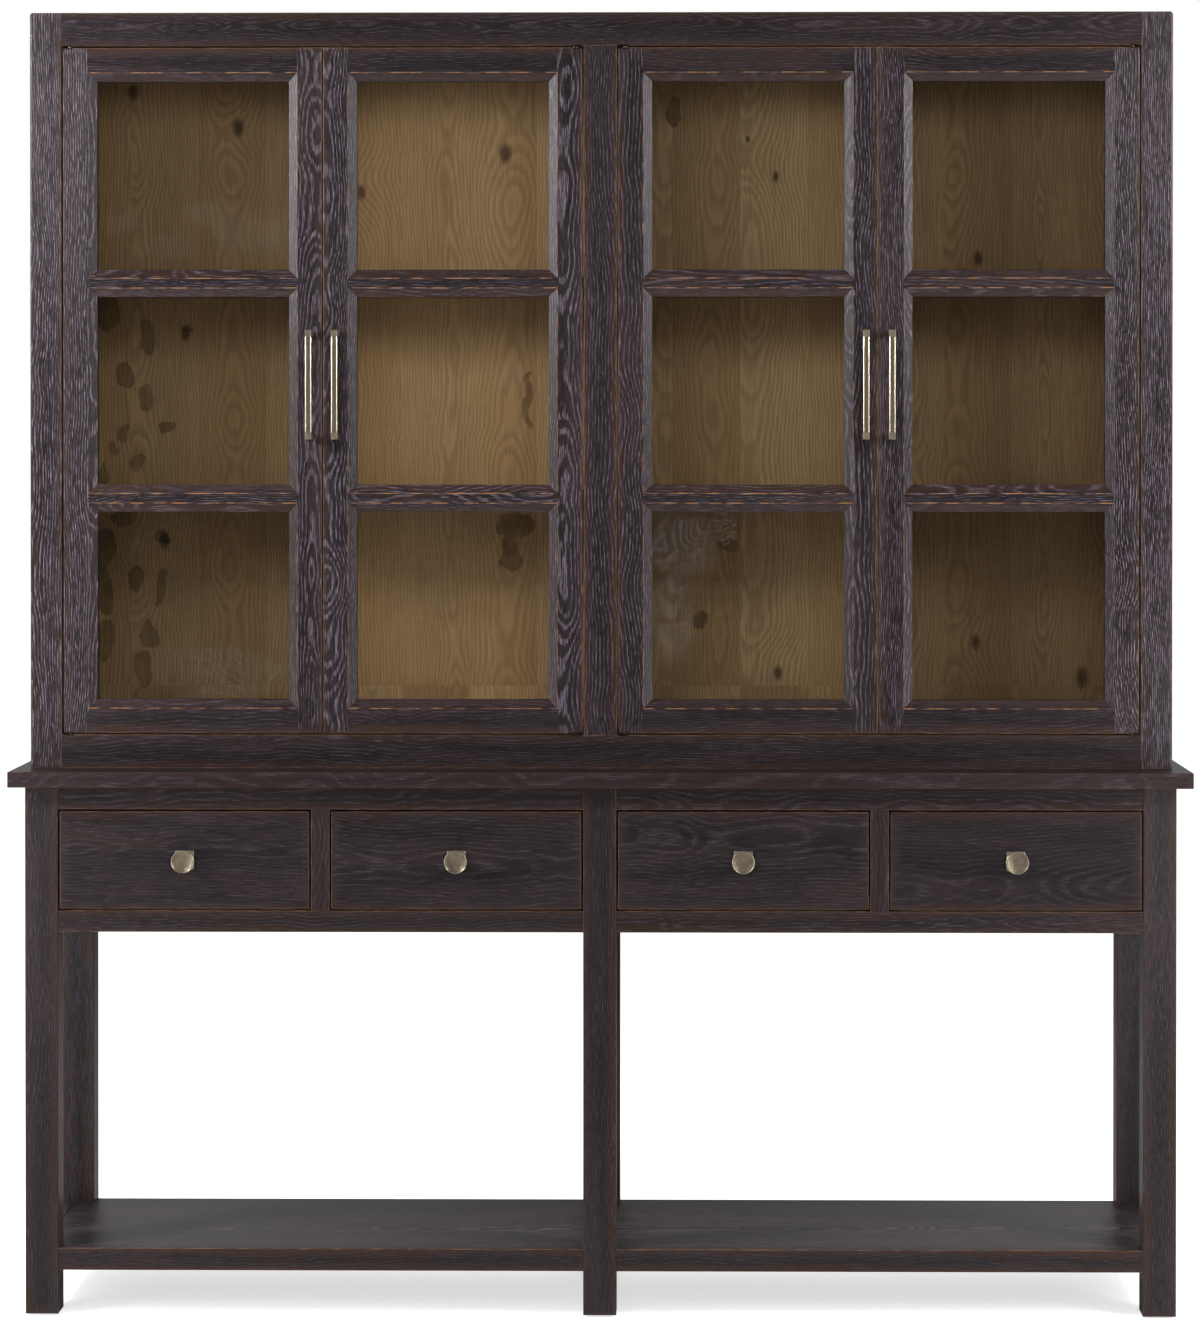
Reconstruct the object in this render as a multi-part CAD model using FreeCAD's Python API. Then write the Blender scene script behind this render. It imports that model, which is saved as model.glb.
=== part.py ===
"""A dresser with a glazed hutch, modelled board by board.

Millimetres. +X is to the viewer's right, -Y towards the viewer and +Z up.
The origin is on the floor, below the middle of the whole piece.
"""
import FreeCAD, Part
import math
import os

# ---- the body
BODY_WIDTH = 1980.0            # outer faces of the legs, and of the hutch above them
BODY_DEPTH = 460.0             # front of the front legs to the back of the rear legs
HUTCH_HEIGHT = 1310.0
HUTCH_DEPTH = 400.0

# ---- the counter
COUNTER_HEIGHT = 940.0         # floor to its upper face
COUNTER_THICKNESS = 27.0
OVERHANG_FRONT = 26.0
OVERHANG_SIDE = 26.0
OVERHANG_BACK = 14.0
COUNTER_EDGE_RADIUS = 1.5

# ---- the base frame
LEG = 57.0                     # square
LEG_ARRIS = 2.0
FACE_RECESS = 1.5              # rails and panels stand back from the legs' faces
RAIL_THICKNESS = 20.0
LOWER_RAIL_THICKNESS = 30.0    # deep enough that no light shows under the drawer fronts
UPPER_RAIL_HEIGHT = 39.5
LOWER_RAIL_HEIGHT = 37.0
DIVIDER_WIDTH = 32.0
PANEL_THICKNESS = 18.0
PARTITION_THICKNESS = 18.0
BACK_THICKNESS = 12.0
TENON_LENGTH = 24.0
TENON_THICKNESS = 8.0
TENON_SHOULDER = 6.0
STUB_LENGTH = 8.0
TONGUE_THICKNESS = 6.0
TONGUE_LENGTH = 8.0
GLIDE_HEIGHT = 3.5
GLIDE_RADIUS = 11.0
GLIDE_NAIL_RADIUS = 1.5
GLIDE_NAIL_LENGTH = 14.0

# ---- the lower shelf
LOW_SHELF_HEIGHT = 117.0       # floor to its upper face
LOW_SHELF_RAIL_HEIGHT = 38.0
LOW_SHELF_THICKNESS = 20.0
LOW_SHELF_REAR_RECESS = 20.0
LOW_SHELF_END_GAP = 1.5        # room for the boards to swell between the end rails
LOW_SHELF_TONGUE_DROP = 5.0

# ---- the drawers
REVEAL = 3.0                   # gap round each drawer front and each pair of doors
DRAWER_FRONT_HEIGHT = 168.0
DRAWER_FRONT_THICKNESS = 20.0
DRAWER_FRONT_RECESS = 1.0
DRAWER_SIDE_HEIGHT = 135.0
DRAWER_SIDE_THICKNESS = 12.0
DRAWER_BACK_DROP = 10.0        # the back stands this far below the sides' upper edges
DRAWER_BOTTOM_THICKNESS = 6.0
DRAWER_BOTTOM_RISE = 10.0      # groove above the sides' lower edges
DRAWER_GROOVE = 5.0
DRAWER_REAR_MARGIN = 5.0
DOVETAILS = 3
TAIL_ROOT = 20.0
TAIL_TIP = 27.0
DOVETAIL_SKIN = 6.0            # wood left in front of the half-blind dovetails
RUN_CLEARANCE = 0.3
RUNNER_THICKNESS = 18.0
RUNNER_REACH = 13.0            # how far a runner reaches under the drawer from the opening's edge
GUIDE_HEIGHT = 20.0
GUIDE_CLEARANCE = 0.5
STOP_THICKNESS = 25.0          # blocks behind the drawers that bring their fronts flush
STOP_WIDTH = 40.0
STOP_HEIGHT = 40.0
STOP_RISE = 20.0

# ---- the drawer knobs
KNOB_PROJECTION = 30.0         # drawer front to the knob's rim
KNOB_RADIUS = 19.5
KNOB_DISH = 3.0                # the hollow of its face
KNOB_LIP = 1.2                 # the flat ring round the hollow
KNOB_RIM = 3.0
KNOB_FLARE = 8.5
KNOB_NECK_RADIUS = 7.0
KNOB_FOOT_RADIUS = 10.5
KNOB_FOOT_HEIGHT = 2.5
KNOB_PLATE = 32.5
KNOB_PLATE_THICKNESS = 2.5
KNOB_PLATE_CORNER = 1.5
SCREW_RADIUS = 2.0
SCREW_HEAD_RADIUS = 4.0
SCREW_HEAD_HEIGHT = 2.5
SCREW_GRIP = 12.0              # thread inside a knob or a pull's foot

# ---- the hutch
STILE_WIDTH = 55.0
MULLION_WIDTH = 57.0
HUTCH_RAIL_HEIGHT = 58.0
FRAME_THICKNESS = 24.0
HUTCH_TENON_LENGTH = 30.0
HUTCH_SIDE_THICKNESS = 22.0
HUTCH_BOARD_THICKNESS = 22.0   # top, floor and partition
HUTCH_HOUSING = 6.0
HUTCH_TOP_RADIUS = 6.0
HUTCH_STILE_RADIUS = 4.0       # rounding of the stiles' outer front arrises
HUTCH_BACK_RECESS = 7.0
HUTCH_BACK_RAIL_HEIGHT = 62.0
HUTCH_BACK_RAIL_STEP = 1.5
SHELF_THICKNESS = 24.0
SHELF_FRONT_RECESS = 12.0
SHELF_BACK_CLEARANCE = 2.0
SHELF_END_CLEARANCE = 1.0
PIN_RADIUS = 3.0
PIN_DEPTH = 8.0
PIN_REACH = 12.0
PIN_INSET = 60.0
DOWEL_RADIUS = 5.0
DOWEL_LENGTH = 40.0
DOWEL_INSET = 60.0

# ---- the doors
DOOR_THICKNESS = 24.0
DOOR_STILE_FLAT = 43.0
DOOR_RAIL_FLAT = 43.0
MUNTIN_FLAT = 17.0
BEVEL_WIDTH = 15.0             # moulded slope from the flat face down to the glass
BEVEL_DEPTH = 10.0
GLASS_LIP = 2.0
GLASS_THICKNESS = 3.0
REBATE_WIDTH = 8.0
GLASS_EDGE_CLEARANCE = 1.0
PANES = 3
DOOR_TENON_LENGTH = 28.0
MUNTIN_TENON_LENGTH = 12.0
MUNTIN_TENON_SHOULDER = 2.0

# ---- the door hardware
MEETING_GAP = 2.0              # between the two doors of a pair
PIVOT_INSET = 12.0             # pivot to the door's hinge edge
PIVOT_DEPTH = 7.0              # pivot behind the door's front face
PIVOT_RADIUS = 3.0
PIVOT_BORE_CLEARANCE = 0.05
PIVOT_COLLAR_RADIUS = 4.5
PIVOT_PLAY = 0.3
PIVOT_PLATE_LENGTH = 17.0
PIVOT_PLATE_DEPTH = 20.0
PIVOT_PLATE_THICKNESS = 2.5
PULL_LENGTH = 189.0
PULL_WIDTH = 10.8
PULL_PROJECTION = 32.0
PULL_BAR_THICKNESS = 10.0
PULL_FOOT = 13.0
PULL_EDGE_RADIUS = 3.0
PULL_INSET = 21.5              # pull's centre line to the door's free edge
PULL_RISE = 604.0              # pull's middle above the door's lower edge
STRIKE_WIDTH = 40.0
STRIKE_HEIGHT = 14.0
STRIKE_THICKNESS = 1.5
STRIKE_DROP = 4.0              # strike below the door's upper edge
CATCH_WIDTH = 90.0
CATCH_DEPTH = 18.0

# ---- places that follow from the sizes
front_reach = max(OVERHANG_FRONT, KNOB_PROJECTION - DRAWER_FRONT_RECESS)
leg_front = (front_reach - BODY_DEPTH - OVERHANG_BACK) / 2
leg_back = leg_front + BODY_DEPTH
leg_inner_front = leg_front + LEG
leg_inner_back = leg_back - LEG
side_x = BODY_WIDTH / 2
leg_inner_x = side_x - LEG

counter_bottom = COUNTER_HEIGHT - COUNTER_THICKNESS
drawer_top = counter_bottom - UPPER_RAIL_HEIGHT - REVEAL
drawer_bottom = drawer_top - DRAWER_FRONT_HEIGHT
rail_top = drawer_bottom - REVEAL
case_bottom = rail_top - LOWER_RAIL_HEIGHT
rail_face = leg_front + FACE_RECESS
rail_back = rail_face + RAIL_THICKNESS
case_back = leg_back - FACE_RECESS - BACK_THICKNESS
divider_x = (leg_inner_x + LEG / 2) / 2
opening_width = (leg_inner_x - LEG / 2 - DIVIDER_WIDTH) / 2
drawer_width = opening_width - 2 * REVEAL
drawer_face = leg_front + DRAWER_FRONT_RECESS
drawer_front_back = drawer_face + DRAWER_FRONT_THICKNESS
drawer_rear = case_back - STOP_THICKNESS - RUN_CLEARANCE
side_bottom = rail_top + RUN_CLEARANCE
side_top = side_bottom + DRAWER_SIDE_HEIGHT
bottom_low = side_bottom + DRAWER_BOTTOM_RISE
bottom_high = bottom_low + DRAWER_BOTTOM_THICKNESS

hutch_low = COUNTER_HEIGHT
hutch_high = hutch_low + HUTCH_HEIGHT
hutch_face = leg_back - HUTCH_DEPTH
frame_back = hutch_face + FRAME_THICKNESS
frame_middle = hutch_face + FRAME_THICKNESS / 2
opening_low = hutch_low + HUTCH_RAIL_HEIGHT
opening_high = hutch_high - HUTCH_RAIL_HEIGHT
board_low = hutch_high - HUTCH_BOARD_THICKNESS
hutch_inner_x = side_x - HUTCH_SIDE_THICKNESS
back_face = leg_back - HUTCH_BACK_RECESS - BACK_THICKNESS
partition_x = HUTCH_BOARD_THICKNESS / 2

bay_width = side_x - STILE_WIDTH - MULLION_WIDTH / 2
door_width = (bay_width - 2 * REVEAL - MEETING_GAP) / 2
door_low = opening_low + REVEAL
door_height = opening_high - REVEAL - door_low
door_back = hutch_face + DOOR_THICKNESS
door_stile = DOOR_STILE_FLAT + BEVEL_WIDTH
door_rail = DOOR_RAIL_FLAT + BEVEL_WIDTH
muntin = MUNTIN_FLAT + 2 * BEVEL_WIDTH
pane_height = (door_height - 2 * door_rail - (PANES - 1) * muntin) / PANES
lip_back = BEVEL_DEPTH + GLASS_LIP
glass_back = lip_back + GLASS_THICKNESS


# ---- shapes used by every part
def board(x, y, z):
    """A straight board, from its (low, high) pair along each axis."""
    corner = FreeCAD.Vector(x[0], y[0], z[0])
    return Part.makeBox(x[1] - x[0], y[1] - y[0], z[1] - z[0], corner)


def around(middle, width):
    """The (low, high) pair of a width about its middle."""
    return (middle - width / 2, middle + width / 2)


def joined(*shapes):
    """One solid from pieces that meet, with no seams left on its faces."""
    return shapes[0].fuse(list(shapes[1:])).removeSplitter()


def carved(shape, cutters):
    """The shape with a socket for each cutter."""
    return shape.cut(list(cutters)) if cutters else shape


def mirrored(shape):
    """The same shape on the other side of the middle plane."""
    return shape.mirror(FreeCAD.Vector(0, 0, 0), FreeCAD.Vector(1, 0, 0))


def both_sides(shapes):
    """The shapes and their mirror images."""
    return list(shapes) + [mirrored(s) for s in shapes]


def rod(centre, direction, radius, length):
    """A round rod from centre along direction."""
    return Part.makeCylinder(radius, length, FreeCAD.Vector(*centre), FreeCAD.Vector(*direction))


def eased(shape, radius, wanted):
    """The shape with the straight edges that wanted(start, end) picks rounded over."""
    edges = [e for e in shape.Edges if wanted(e.Vertexes[0].Point, e.Vertexes[-1].Point)]
    return shape.makeFillet(radius, edges)


def upright(a, b):
    return abs(a.z - b.z) > 1 and abs(a.x - b.x) < 1e-6 and abs(a.y - b.y) < 1e-6


def plate_outline(points, front, back):
    """A flat outline in the XZ plane, given thickness from front to back."""
    corners = [FreeCAD.Vector(x, front, z) for x, z in points]
    face = Part.Face(Part.makePolygon(corners + corners[:1]))
    return face.extrude(FreeCAD.Vector(0, back - front, 0))


# ---- the base
def front_rail(z, thickness=RAIL_THICKNESS):
    """A rail of the left bay, tenoned into the legs at both ends."""
    body = board((-leg_inner_x, -LEG / 2), (rail_face, rail_face + thickness), z)
    tenon = board((-leg_inner_x - TENON_LENGTH, -LEG / 2 + TENON_LENGTH),
                  around((rail_face + rail_back) / 2, TENON_THICKNESS),
                  (z[0] + TENON_SHOULDER, z[1] - TENON_SHOULDER))
    return joined(body, tenon)


def side_rail(x_middle, z):
    """A rail of the lower shelf that runs from a front leg to a rear leg."""
    body = board(around(x_middle, RAIL_THICKNESS), (leg_inner_front, leg_inner_back), z)
    tenon = board(around(x_middle, TENON_THICKNESS),
                  (leg_inner_front - TENON_LENGTH, leg_inner_back + TENON_LENGTH),
                  (z[0] + TENON_SHOULDER, z[1] - TENON_SHOULDER))
    return joined(body, tenon)


def tongued_panel(x_middle, thickness):
    """An upright panel of the drawer case between a front leg and a rear leg."""
    height = (case_bottom, counter_bottom)
    body = board(around(x_middle, thickness), (leg_inner_front, leg_inner_back), height)
    tongue = board(around(x_middle, TONGUE_THICKNESS),
                   (leg_inner_front - TONGUE_LENGTH, leg_inner_back + TONGUE_LENGTH), height)
    return joined(body, tongue)


def make_case():
    """Rails, dividers, panels and partitions of the drawer case."""
    upper = front_rail((counter_bottom - UPPER_RAIL_HEIGHT, counter_bottom))
    lower = front_rail((case_bottom, rail_top), LOWER_RAIL_THICKNESS)
    divider = joined(
        board(around(-divider_x, DIVIDER_WIDTH), (rail_face, rail_back),
              (rail_top, counter_bottom - UPPER_RAIL_HEIGHT)),
        board(around(-divider_x, DIVIDER_WIDTH - 2 * TENON_SHOULDER),
              around((rail_face + rail_back) / 2, TENON_THICKNESS),
              (rail_top - STUB_LENGTH, counter_bottom - UPPER_RAIL_HEIGHT + STUB_LENGTH)))
    panel_x = side_x - FACE_RECESS - PANEL_THICKNESS / 2
    height = (case_bottom, counter_bottom)
    back_y = (case_back, case_back + BACK_THICKNESS)
    back = joined(
        board((-leg_inner_x, -LEG / 2), back_y, height),
        board((-leg_inner_x - TONGUE_LENGTH, -LEG / 2 + TONGUE_LENGTH),
              around(case_back + BACK_THICKNESS / 2, TONGUE_THICKNESS), height))
    partition = board(around(-divider_x, PARTITION_THICKNESS), (rail_back, case_back), height)
    partition = carved(partition, [lower])
    return {
        "base_front_rails": both_sides([carved(upper, [divider]), carved(lower, [divider])]),
        "drawer_dividers": both_sides([divider]),
        "base_side_panels": both_sides([tongued_panel(-panel_x, PANEL_THICKNESS)]),
        "base_back_panels": both_sides([back]),
        "drawer_partitions": both_sides([partition]) + [tongued_panel(0, PARTITION_THICKNESS)],
    }


def make_runners():
    """Runners, guides and stops of the two drawers in the left bay, and their mirror images."""
    length = (leg_inner_front, leg_inner_back)
    runner_z = (rail_top - RUNNER_THICKNESS, rail_top)
    guide_z = (rail_top, rail_top + GUIDE_HEIGHT)
    guide_reach = REVEAL - GUIDE_CLEARANCE
    case_wall = side_x - FACE_RECESS - PANEL_THICKNESS
    half = PARTITION_THICKNESS / 2
    divider_edge = DIVIDER_WIDTH / 2
    # (wall that carries the runner, edge of the drawer opening, direction into the opening)
    places = [(-case_wall, -leg_inner_x, 1),
              (-divider_x - half, -divider_x - divider_edge, -1),
              (-divider_x + half, -divider_x + divider_edge, 1),
              (-half, -LEG / 2, -1)]
    pieces = []
    for wall, edge, way in places:
        runner = sorted((wall, edge + way * RUNNER_REACH))
        guide = sorted((wall, edge + way * guide_reach))
        pieces.append(board(runner, length, runner_z))
        pieces.append(board(guide, length, guide_z))
    for x in drawer_middles()[:2]:
        pieces.append(board(around(x, STOP_WIDTH), (case_back - STOP_THICKNESS, case_back),
                            (rail_top + STOP_RISE, rail_top + STOP_RISE + STOP_HEIGHT)))
    return {"drawer_runners": both_sides(pieces)}


def make_low_shelf(legs):
    """The rails and boards of the open shelf near the floor."""
    z = (LOW_SHELF_HEIGHT - LOW_SHELF_RAIL_HEIGHT, LOW_SHELF_HEIGHT)
    front = front_rail(z)
    rear_y = leg_back - LOW_SHELF_REAR_RECESS - RAIL_THICKNESS
    rear = front.translated(FreeCAD.Vector(0, rear_y - rail_face, 0))
    end = side_rail(-(side_x - FACE_RECESS - RAIL_THICKNESS / 2), z)
    centre = side_rail(0, z)
    end_inner = side_x - FACE_RECESS - RAIL_THICKNESS
    board_z = (LOW_SHELF_HEIGHT - LOW_SHELF_THICKNESS, LOW_SHELF_HEIGHT)
    body = board((-end_inner + LOW_SHELF_END_GAP, -RAIL_THICKNESS / 2 - LOW_SHELF_END_GAP),
                 (rail_back, rear_y), board_z)
    tongue_top = LOW_SHELF_HEIGHT - LOW_SHELF_TONGUE_DROP
    tongue = board((-leg_inner_x, -LEG / 2), (rail_back - TONGUE_LENGTH, rear_y + TONGUE_LENGTH),
                   (tongue_top - TONGUE_THICKNESS, tongue_top))
    shelf = carved(joined(body, tongue), legs)
    rails = [carved(front, [shelf]), carved(rear, [shelf]), end]
    return {
        "lower_shelf_rails": both_sides(rails) + [centre],
        "lower_shelf_boards": both_sides([shelf]),
    }


def leg_blanks(y):
    """Three plain legs in a row, with eased uprights, from the glides to the counter."""
    blanks = []
    for x in (-side_x + LEG / 2, 0, side_x - LEG / 2):
        blank = board(around(x, LEG), (y, y + LEG), (GLIDE_HEIGHT, counter_bottom))
        blanks.append(eased(blank, LEG_ARRIS, upright))
    return blanks


def make_glides():
    """A nailed disc under each leg."""
    glides = []
    for x in (-side_x + LEG / 2, 0, side_x - LEG / 2):
        for y in (leg_front + LEG / 2, leg_back - LEG / 2):
            disc = rod((x, y, 0), (0, 0, 1), GLIDE_RADIUS, GLIDE_HEIGHT)
            nail = rod((x, y, 0), (0, 0, 1), GLIDE_NAIL_RADIUS, GLIDE_HEIGHT + GLIDE_NAIL_LENGTH)
            glides.append(joined(disc, nail))
    return {"leg_glides": glides}


def make_counter(dowels):
    """The counter: one wide top, rounded all round its edges."""
    blank = board((-side_x - OVERHANG_SIDE, side_x + OVERHANG_SIDE),
                  (leg_front - OVERHANG_FRONT, leg_back + OVERHANG_BACK),
                  (counter_bottom, COUNTER_HEIGHT))
    rounded = blank.makeFillet(COUNTER_EDGE_RADIUS, blank.Edges)
    return {"counter_top": [carved(rounded, dowels)]}


# ---- the drawers
def drawer_middles():
    """The middle of each drawer, from left to right."""
    offset = (opening_width + DIVIDER_WIDTH) / 2
    left = [-divider_x - offset, -divider_x + offset]
    return left + [-x for x in reversed(left)]


def drawer_side(x, low_tail):
    """A drawer side with tails that lock into the drawer front."""
    pieces = [board(x, (drawer_front_back, drawer_rear), (side_bottom, side_top))]
    pitch = (side_top - low_tail) / DOVETAILS
    tip = drawer_face + DOVETAIL_SKIN
    for i in range(DOVETAILS):
        middle = low_tail + (i + 0.5) * pitch
        outline = [(drawer_front_back, middle - TAIL_ROOT / 2), (drawer_front_back, middle + TAIL_ROOT / 2),
                   (tip, middle + TAIL_TIP / 2), (tip, middle - TAIL_TIP / 2)]
        corners = [FreeCAD.Vector(x[0], y, z) for y, z in outline]
        face = Part.Face(Part.makePolygon(corners + corners[:1]))
        pieces.append(face.extrude(FreeCAD.Vector(x[1] - x[0], 0, 0)))
    return joined(*pieces)


def make_knob(middle):
    """A dished knob on a square plate, with the screw that holds it through the drawer front."""
    x, z = middle
    plate = board(around(x, KNOB_PLATE), (drawer_face - KNOB_PLATE_THICKNESS, drawer_face),
                  around(z, KNOB_PLATE))
    plate = eased(plate, KNOB_PLATE_CORNER, lambda a, b: abs(a.y - b.y) > 1)
    lip = KNOB_RADIUS - KNOB_LIP
    bowl = (lip ** 2 + KNOB_DISH ** 2) / (2 * KNOB_DISH)
    half_turn = math.acos((bowl - KNOB_DISH) / bowl) / 2
    dish_low = KNOB_PROJECTION - KNOB_DISH
    rim_back = KNOB_PROJECTION - KNOB_RIM
    neck_top = rim_back - KNOB_FLARE
    foot_top = KNOB_PLATE_THICKNESS + KNOB_FOOT_HEIGHT
    neck_low = foot_top + (KNOB_FOOT_RADIUS - KNOB_NECK_RADIUS)

    def at(radius, forward):
        return FreeCAD.Vector(x + radius, drawer_face - forward, z)

    def arc(a, through, b):
        return Part.Arc(a, through, b).toShape()

    slope = math.sqrt(0.5)
    scoop = KNOB_FOOT_RADIUS - KNOB_NECK_RADIUS
    flare = KNOB_RADIUS - KNOB_NECK_RADIUS
    edges = [
        Part.makeLine(at(0, KNOB_PLATE_THICKNESS), at(KNOB_FOOT_RADIUS, KNOB_PLATE_THICKNESS)),
        Part.makeLine(at(KNOB_FOOT_RADIUS, KNOB_PLATE_THICKNESS), at(KNOB_FOOT_RADIUS, foot_top)),
        arc(at(KNOB_FOOT_RADIUS, foot_top),
            at(KNOB_FOOT_RADIUS - scoop * slope, neck_low - scoop * slope),
            at(KNOB_NECK_RADIUS, neck_low)),
        Part.makeLine(at(KNOB_NECK_RADIUS, neck_low), at(KNOB_NECK_RADIUS, neck_top)),
        arc(at(KNOB_NECK_RADIUS, neck_top),
            at(KNOB_NECK_RADIUS + flare * (1 - slope), neck_top + KNOB_FLARE * slope),
            at(KNOB_RADIUS, rim_back)),
        Part.makeLine(at(KNOB_RADIUS, rim_back), at(KNOB_RADIUS, KNOB_PROJECTION)),
        Part.makeLine(at(KNOB_RADIUS, KNOB_PROJECTION), at(lip, KNOB_PROJECTION)),
        arc(at(lip, KNOB_PROJECTION),
            at(bowl * math.sin(half_turn), dish_low + bowl * (1 - math.cos(half_turn))),
            at(0, dish_low)),
        Part.makeLine(at(0, dish_low), at(0, KNOB_PLATE_THICKNESS)),
    ]
    profile = Part.Face(Part.Wire(edges))
    knob = profile.revolve(FreeCAD.Vector(x, drawer_face, z), FreeCAD.Vector(0, 1, 0), 360)
    screw = make_screw((x, drawer_front_back, z), KNOB_PLATE_THICKNESS + DRAWER_FRONT_THICKNESS)
    return [carved(plate, [screw]), carved(knob, [screw]), screw]


def make_screw(seat, through):
    """A screw whose head sits behind seat; its shank runs forward through the wood and grips beyond."""
    head = rod(seat, (0, 1, 0), SCREW_HEAD_RADIUS, SCREW_HEAD_HEIGHT)
    shank = rod(seat, (0, -1, 0), SCREW_RADIUS, through + SCREW_GRIP)
    return joined(head, shank)


def make_drawer(number, x):
    """One drawer: a front, a dovetailed box and a knob."""
    left, right = around(x, drawer_width)
    t = DRAWER_SIDE_THICKNESS
    sides = [drawer_side((left, left + t), drawer_bottom), drawer_side((right - t, right), drawer_bottom)]
    inner = (left + t - DRAWER_GROOVE, right - t + DRAWER_GROOVE)
    rear = (drawer_rear - DRAWER_REAR_MARGIN - t, drawer_rear - DRAWER_REAR_MARGIN)
    back = board(inner, rear, (bottom_high, side_top - DRAWER_BACK_DROP))
    bottom = board(inner, (drawer_front_back - DRAWER_GROOVE, rear[1]), (bottom_low, bottom_high))
    knob = make_knob((x, drawer_bottom + DRAWER_FRONT_HEIGHT / 2))
    blank = board((left, right), (drawer_face, drawer_front_back), (drawer_bottom, drawer_top))
    front = carved(blank, sides + [bottom, knob[2]])
    sides = [carved(side, [back, bottom]) for side in sides]
    name = f"drawer_{number}"
    return {f"{name}_front": [front], f"{name}_box": sides + [back, bottom], f"{name}_knob": knob}


# ---- the hutch
def door_places():
    """(number, left edge, hinge side) of each door; the hinge side is -1 for left, 1 for right."""
    first = -side_x + STILE_WIDTH + REVEAL
    second = first + door_width + MEETING_GAP
    return [(1, first, -1), (2, second, 1),
            (3, -second - door_width, -1), (4, -first - door_width, 1)]


def pivot_x(left, hinge_side):
    """Where a door's pivot stands, from the door's left edge and its hinge side."""
    return left + PIVOT_INSET if hinge_side < 0 else left + door_width - PIVOT_INSET


def pivot_plate(left, hinge_side, z):
    """The seat of a pivot plate at a door's hinge corner."""
    edge = left if hinge_side < 0 else left + door_width - PIVOT_PLATE_LENGTH
    return board((edge, edge + PIVOT_PLATE_LENGTH), (hutch_face, hutch_face + PIVOT_PLATE_DEPTH), z)


def frame_plates():
    """The pivot plates let into the face frame: solid blanks, and the same with their bores."""
    blanks, bored = [], []
    for _, left, hinge_side in door_places():
        for z in ((opening_low - PIVOT_PLATE_THICKNESS, opening_low),
                  (opening_high, opening_high + PIVOT_PLATE_THICKNESS)):
            blank = pivot_plate(left, hinge_side, z)
            centre = (pivot_x(left, hinge_side), hutch_face + PIVOT_DEPTH, z[0])
            bore = rod(centre, (0, 0, 1), PIVOT_RADIUS + PIVOT_BORE_CLEARANCE, PIVOT_PLATE_THICKNESS)
            blanks.append(blank)
            bored.append(carved(blank, [bore]))
    return blanks, bored


def make_face_frame():
    """The hutch's face frame: two stiles, the mullion and two long rails, with the pivot plates."""
    blank = board((-side_x, -side_x + STILE_WIDTH), (hutch_face, frame_back), (hutch_low, hutch_high))
    stile = eased(blank, HUTCH_TOP_RADIUS, at_top_corner)
    stile = stile.common(eased(blank, HUTCH_STILE_RADIUS, at_front_arris))
    half = side_x - STILE_WIDTH
    middle = around(frame_middle, TENON_THICKNESS)
    rails = []
    blanks, plates = frame_plates()
    mullion = joined(
        board(around(0, MULLION_WIDTH), (hutch_face, frame_back), (opening_low, opening_high)),
        board(around(0, MULLION_WIDTH - 2 * TENON_SHOULDER), middle,
              (opening_low - STUB_LENGTH, opening_high + STUB_LENGTH)))
    for low in (hutch_low, opening_high):
        z = (low, low + HUTCH_RAIL_HEIGHT)
        rail = joined(
            board((-half, half), (hutch_face, frame_back), z),
            board((-half - HUTCH_TENON_LENGTH, half + HUTCH_TENON_LENGTH), middle,
                  (z[0] + TENON_SHOULDER, z[1] - TENON_SHOULDER)))
        rails.append(carved(rail, [mullion] + blanks))
    return stile, mullion, rails, plates


def at_top_corner(a, b):
    """Picks the outer upper corner of a left-hand upright."""
    return all(abs(p.x + side_x) < 1e-6 and abs(p.z - hutch_high) < 1e-6 for p in (a, b))


def at_front_arris(a, b):
    """Picks the outer front arris of the left-hand stile."""
    return all(abs(p.x + side_x) < 1e-6 and abs(p.y - hutch_face) < 1e-6 for p in (a, b))


def make_shelves():
    """The shelves of the left bay behind the doors' muntins, with the pins that carry them."""
    span = (-hutch_inner_x + SHELF_END_CLEARANCE, -partition_x - SHELF_END_CLEARANCE)
    depth = (frame_back + SHELF_FRONT_RECESS, back_face - SHELF_BACK_CLEARANCE)
    shelves, pins = [], []
    for i in range(1, PANES):
        middle = door_low + door_rail + i * pane_height + (i - 0.5) * muntin
        z = around(middle, SHELF_THICKNESS)
        shelves.append(board(span, depth, z))
        for y in (depth[0] + PIN_INSET, depth[1] - PIN_INSET):
            for wall, way in ((-hutch_inner_x, 1), (-partition_x, -1)):
                start = (wall - way * PIN_DEPTH, y, z[0] - PIN_RADIUS)
                pins.append(rod(start, (way, 0, 0), PIN_RADIUS, PIN_DEPTH + PIN_REACH))
    return both_sides(shelves), both_sides(pins)


def make_dowels():
    """Dowels that stand in the counter and locate the hutch's sides."""
    x = side_x - HUTCH_SIDE_THICKNESS / 2
    foot = COUNTER_HEIGHT - DOWEL_LENGTH / 2
    return both_sides([rod((-x, y, foot), (0, 0, 1), DOWEL_RADIUS, DOWEL_LENGTH)
                       for y in (frame_back + DOWEL_INSET, leg_back - DOWEL_INSET)])


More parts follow.
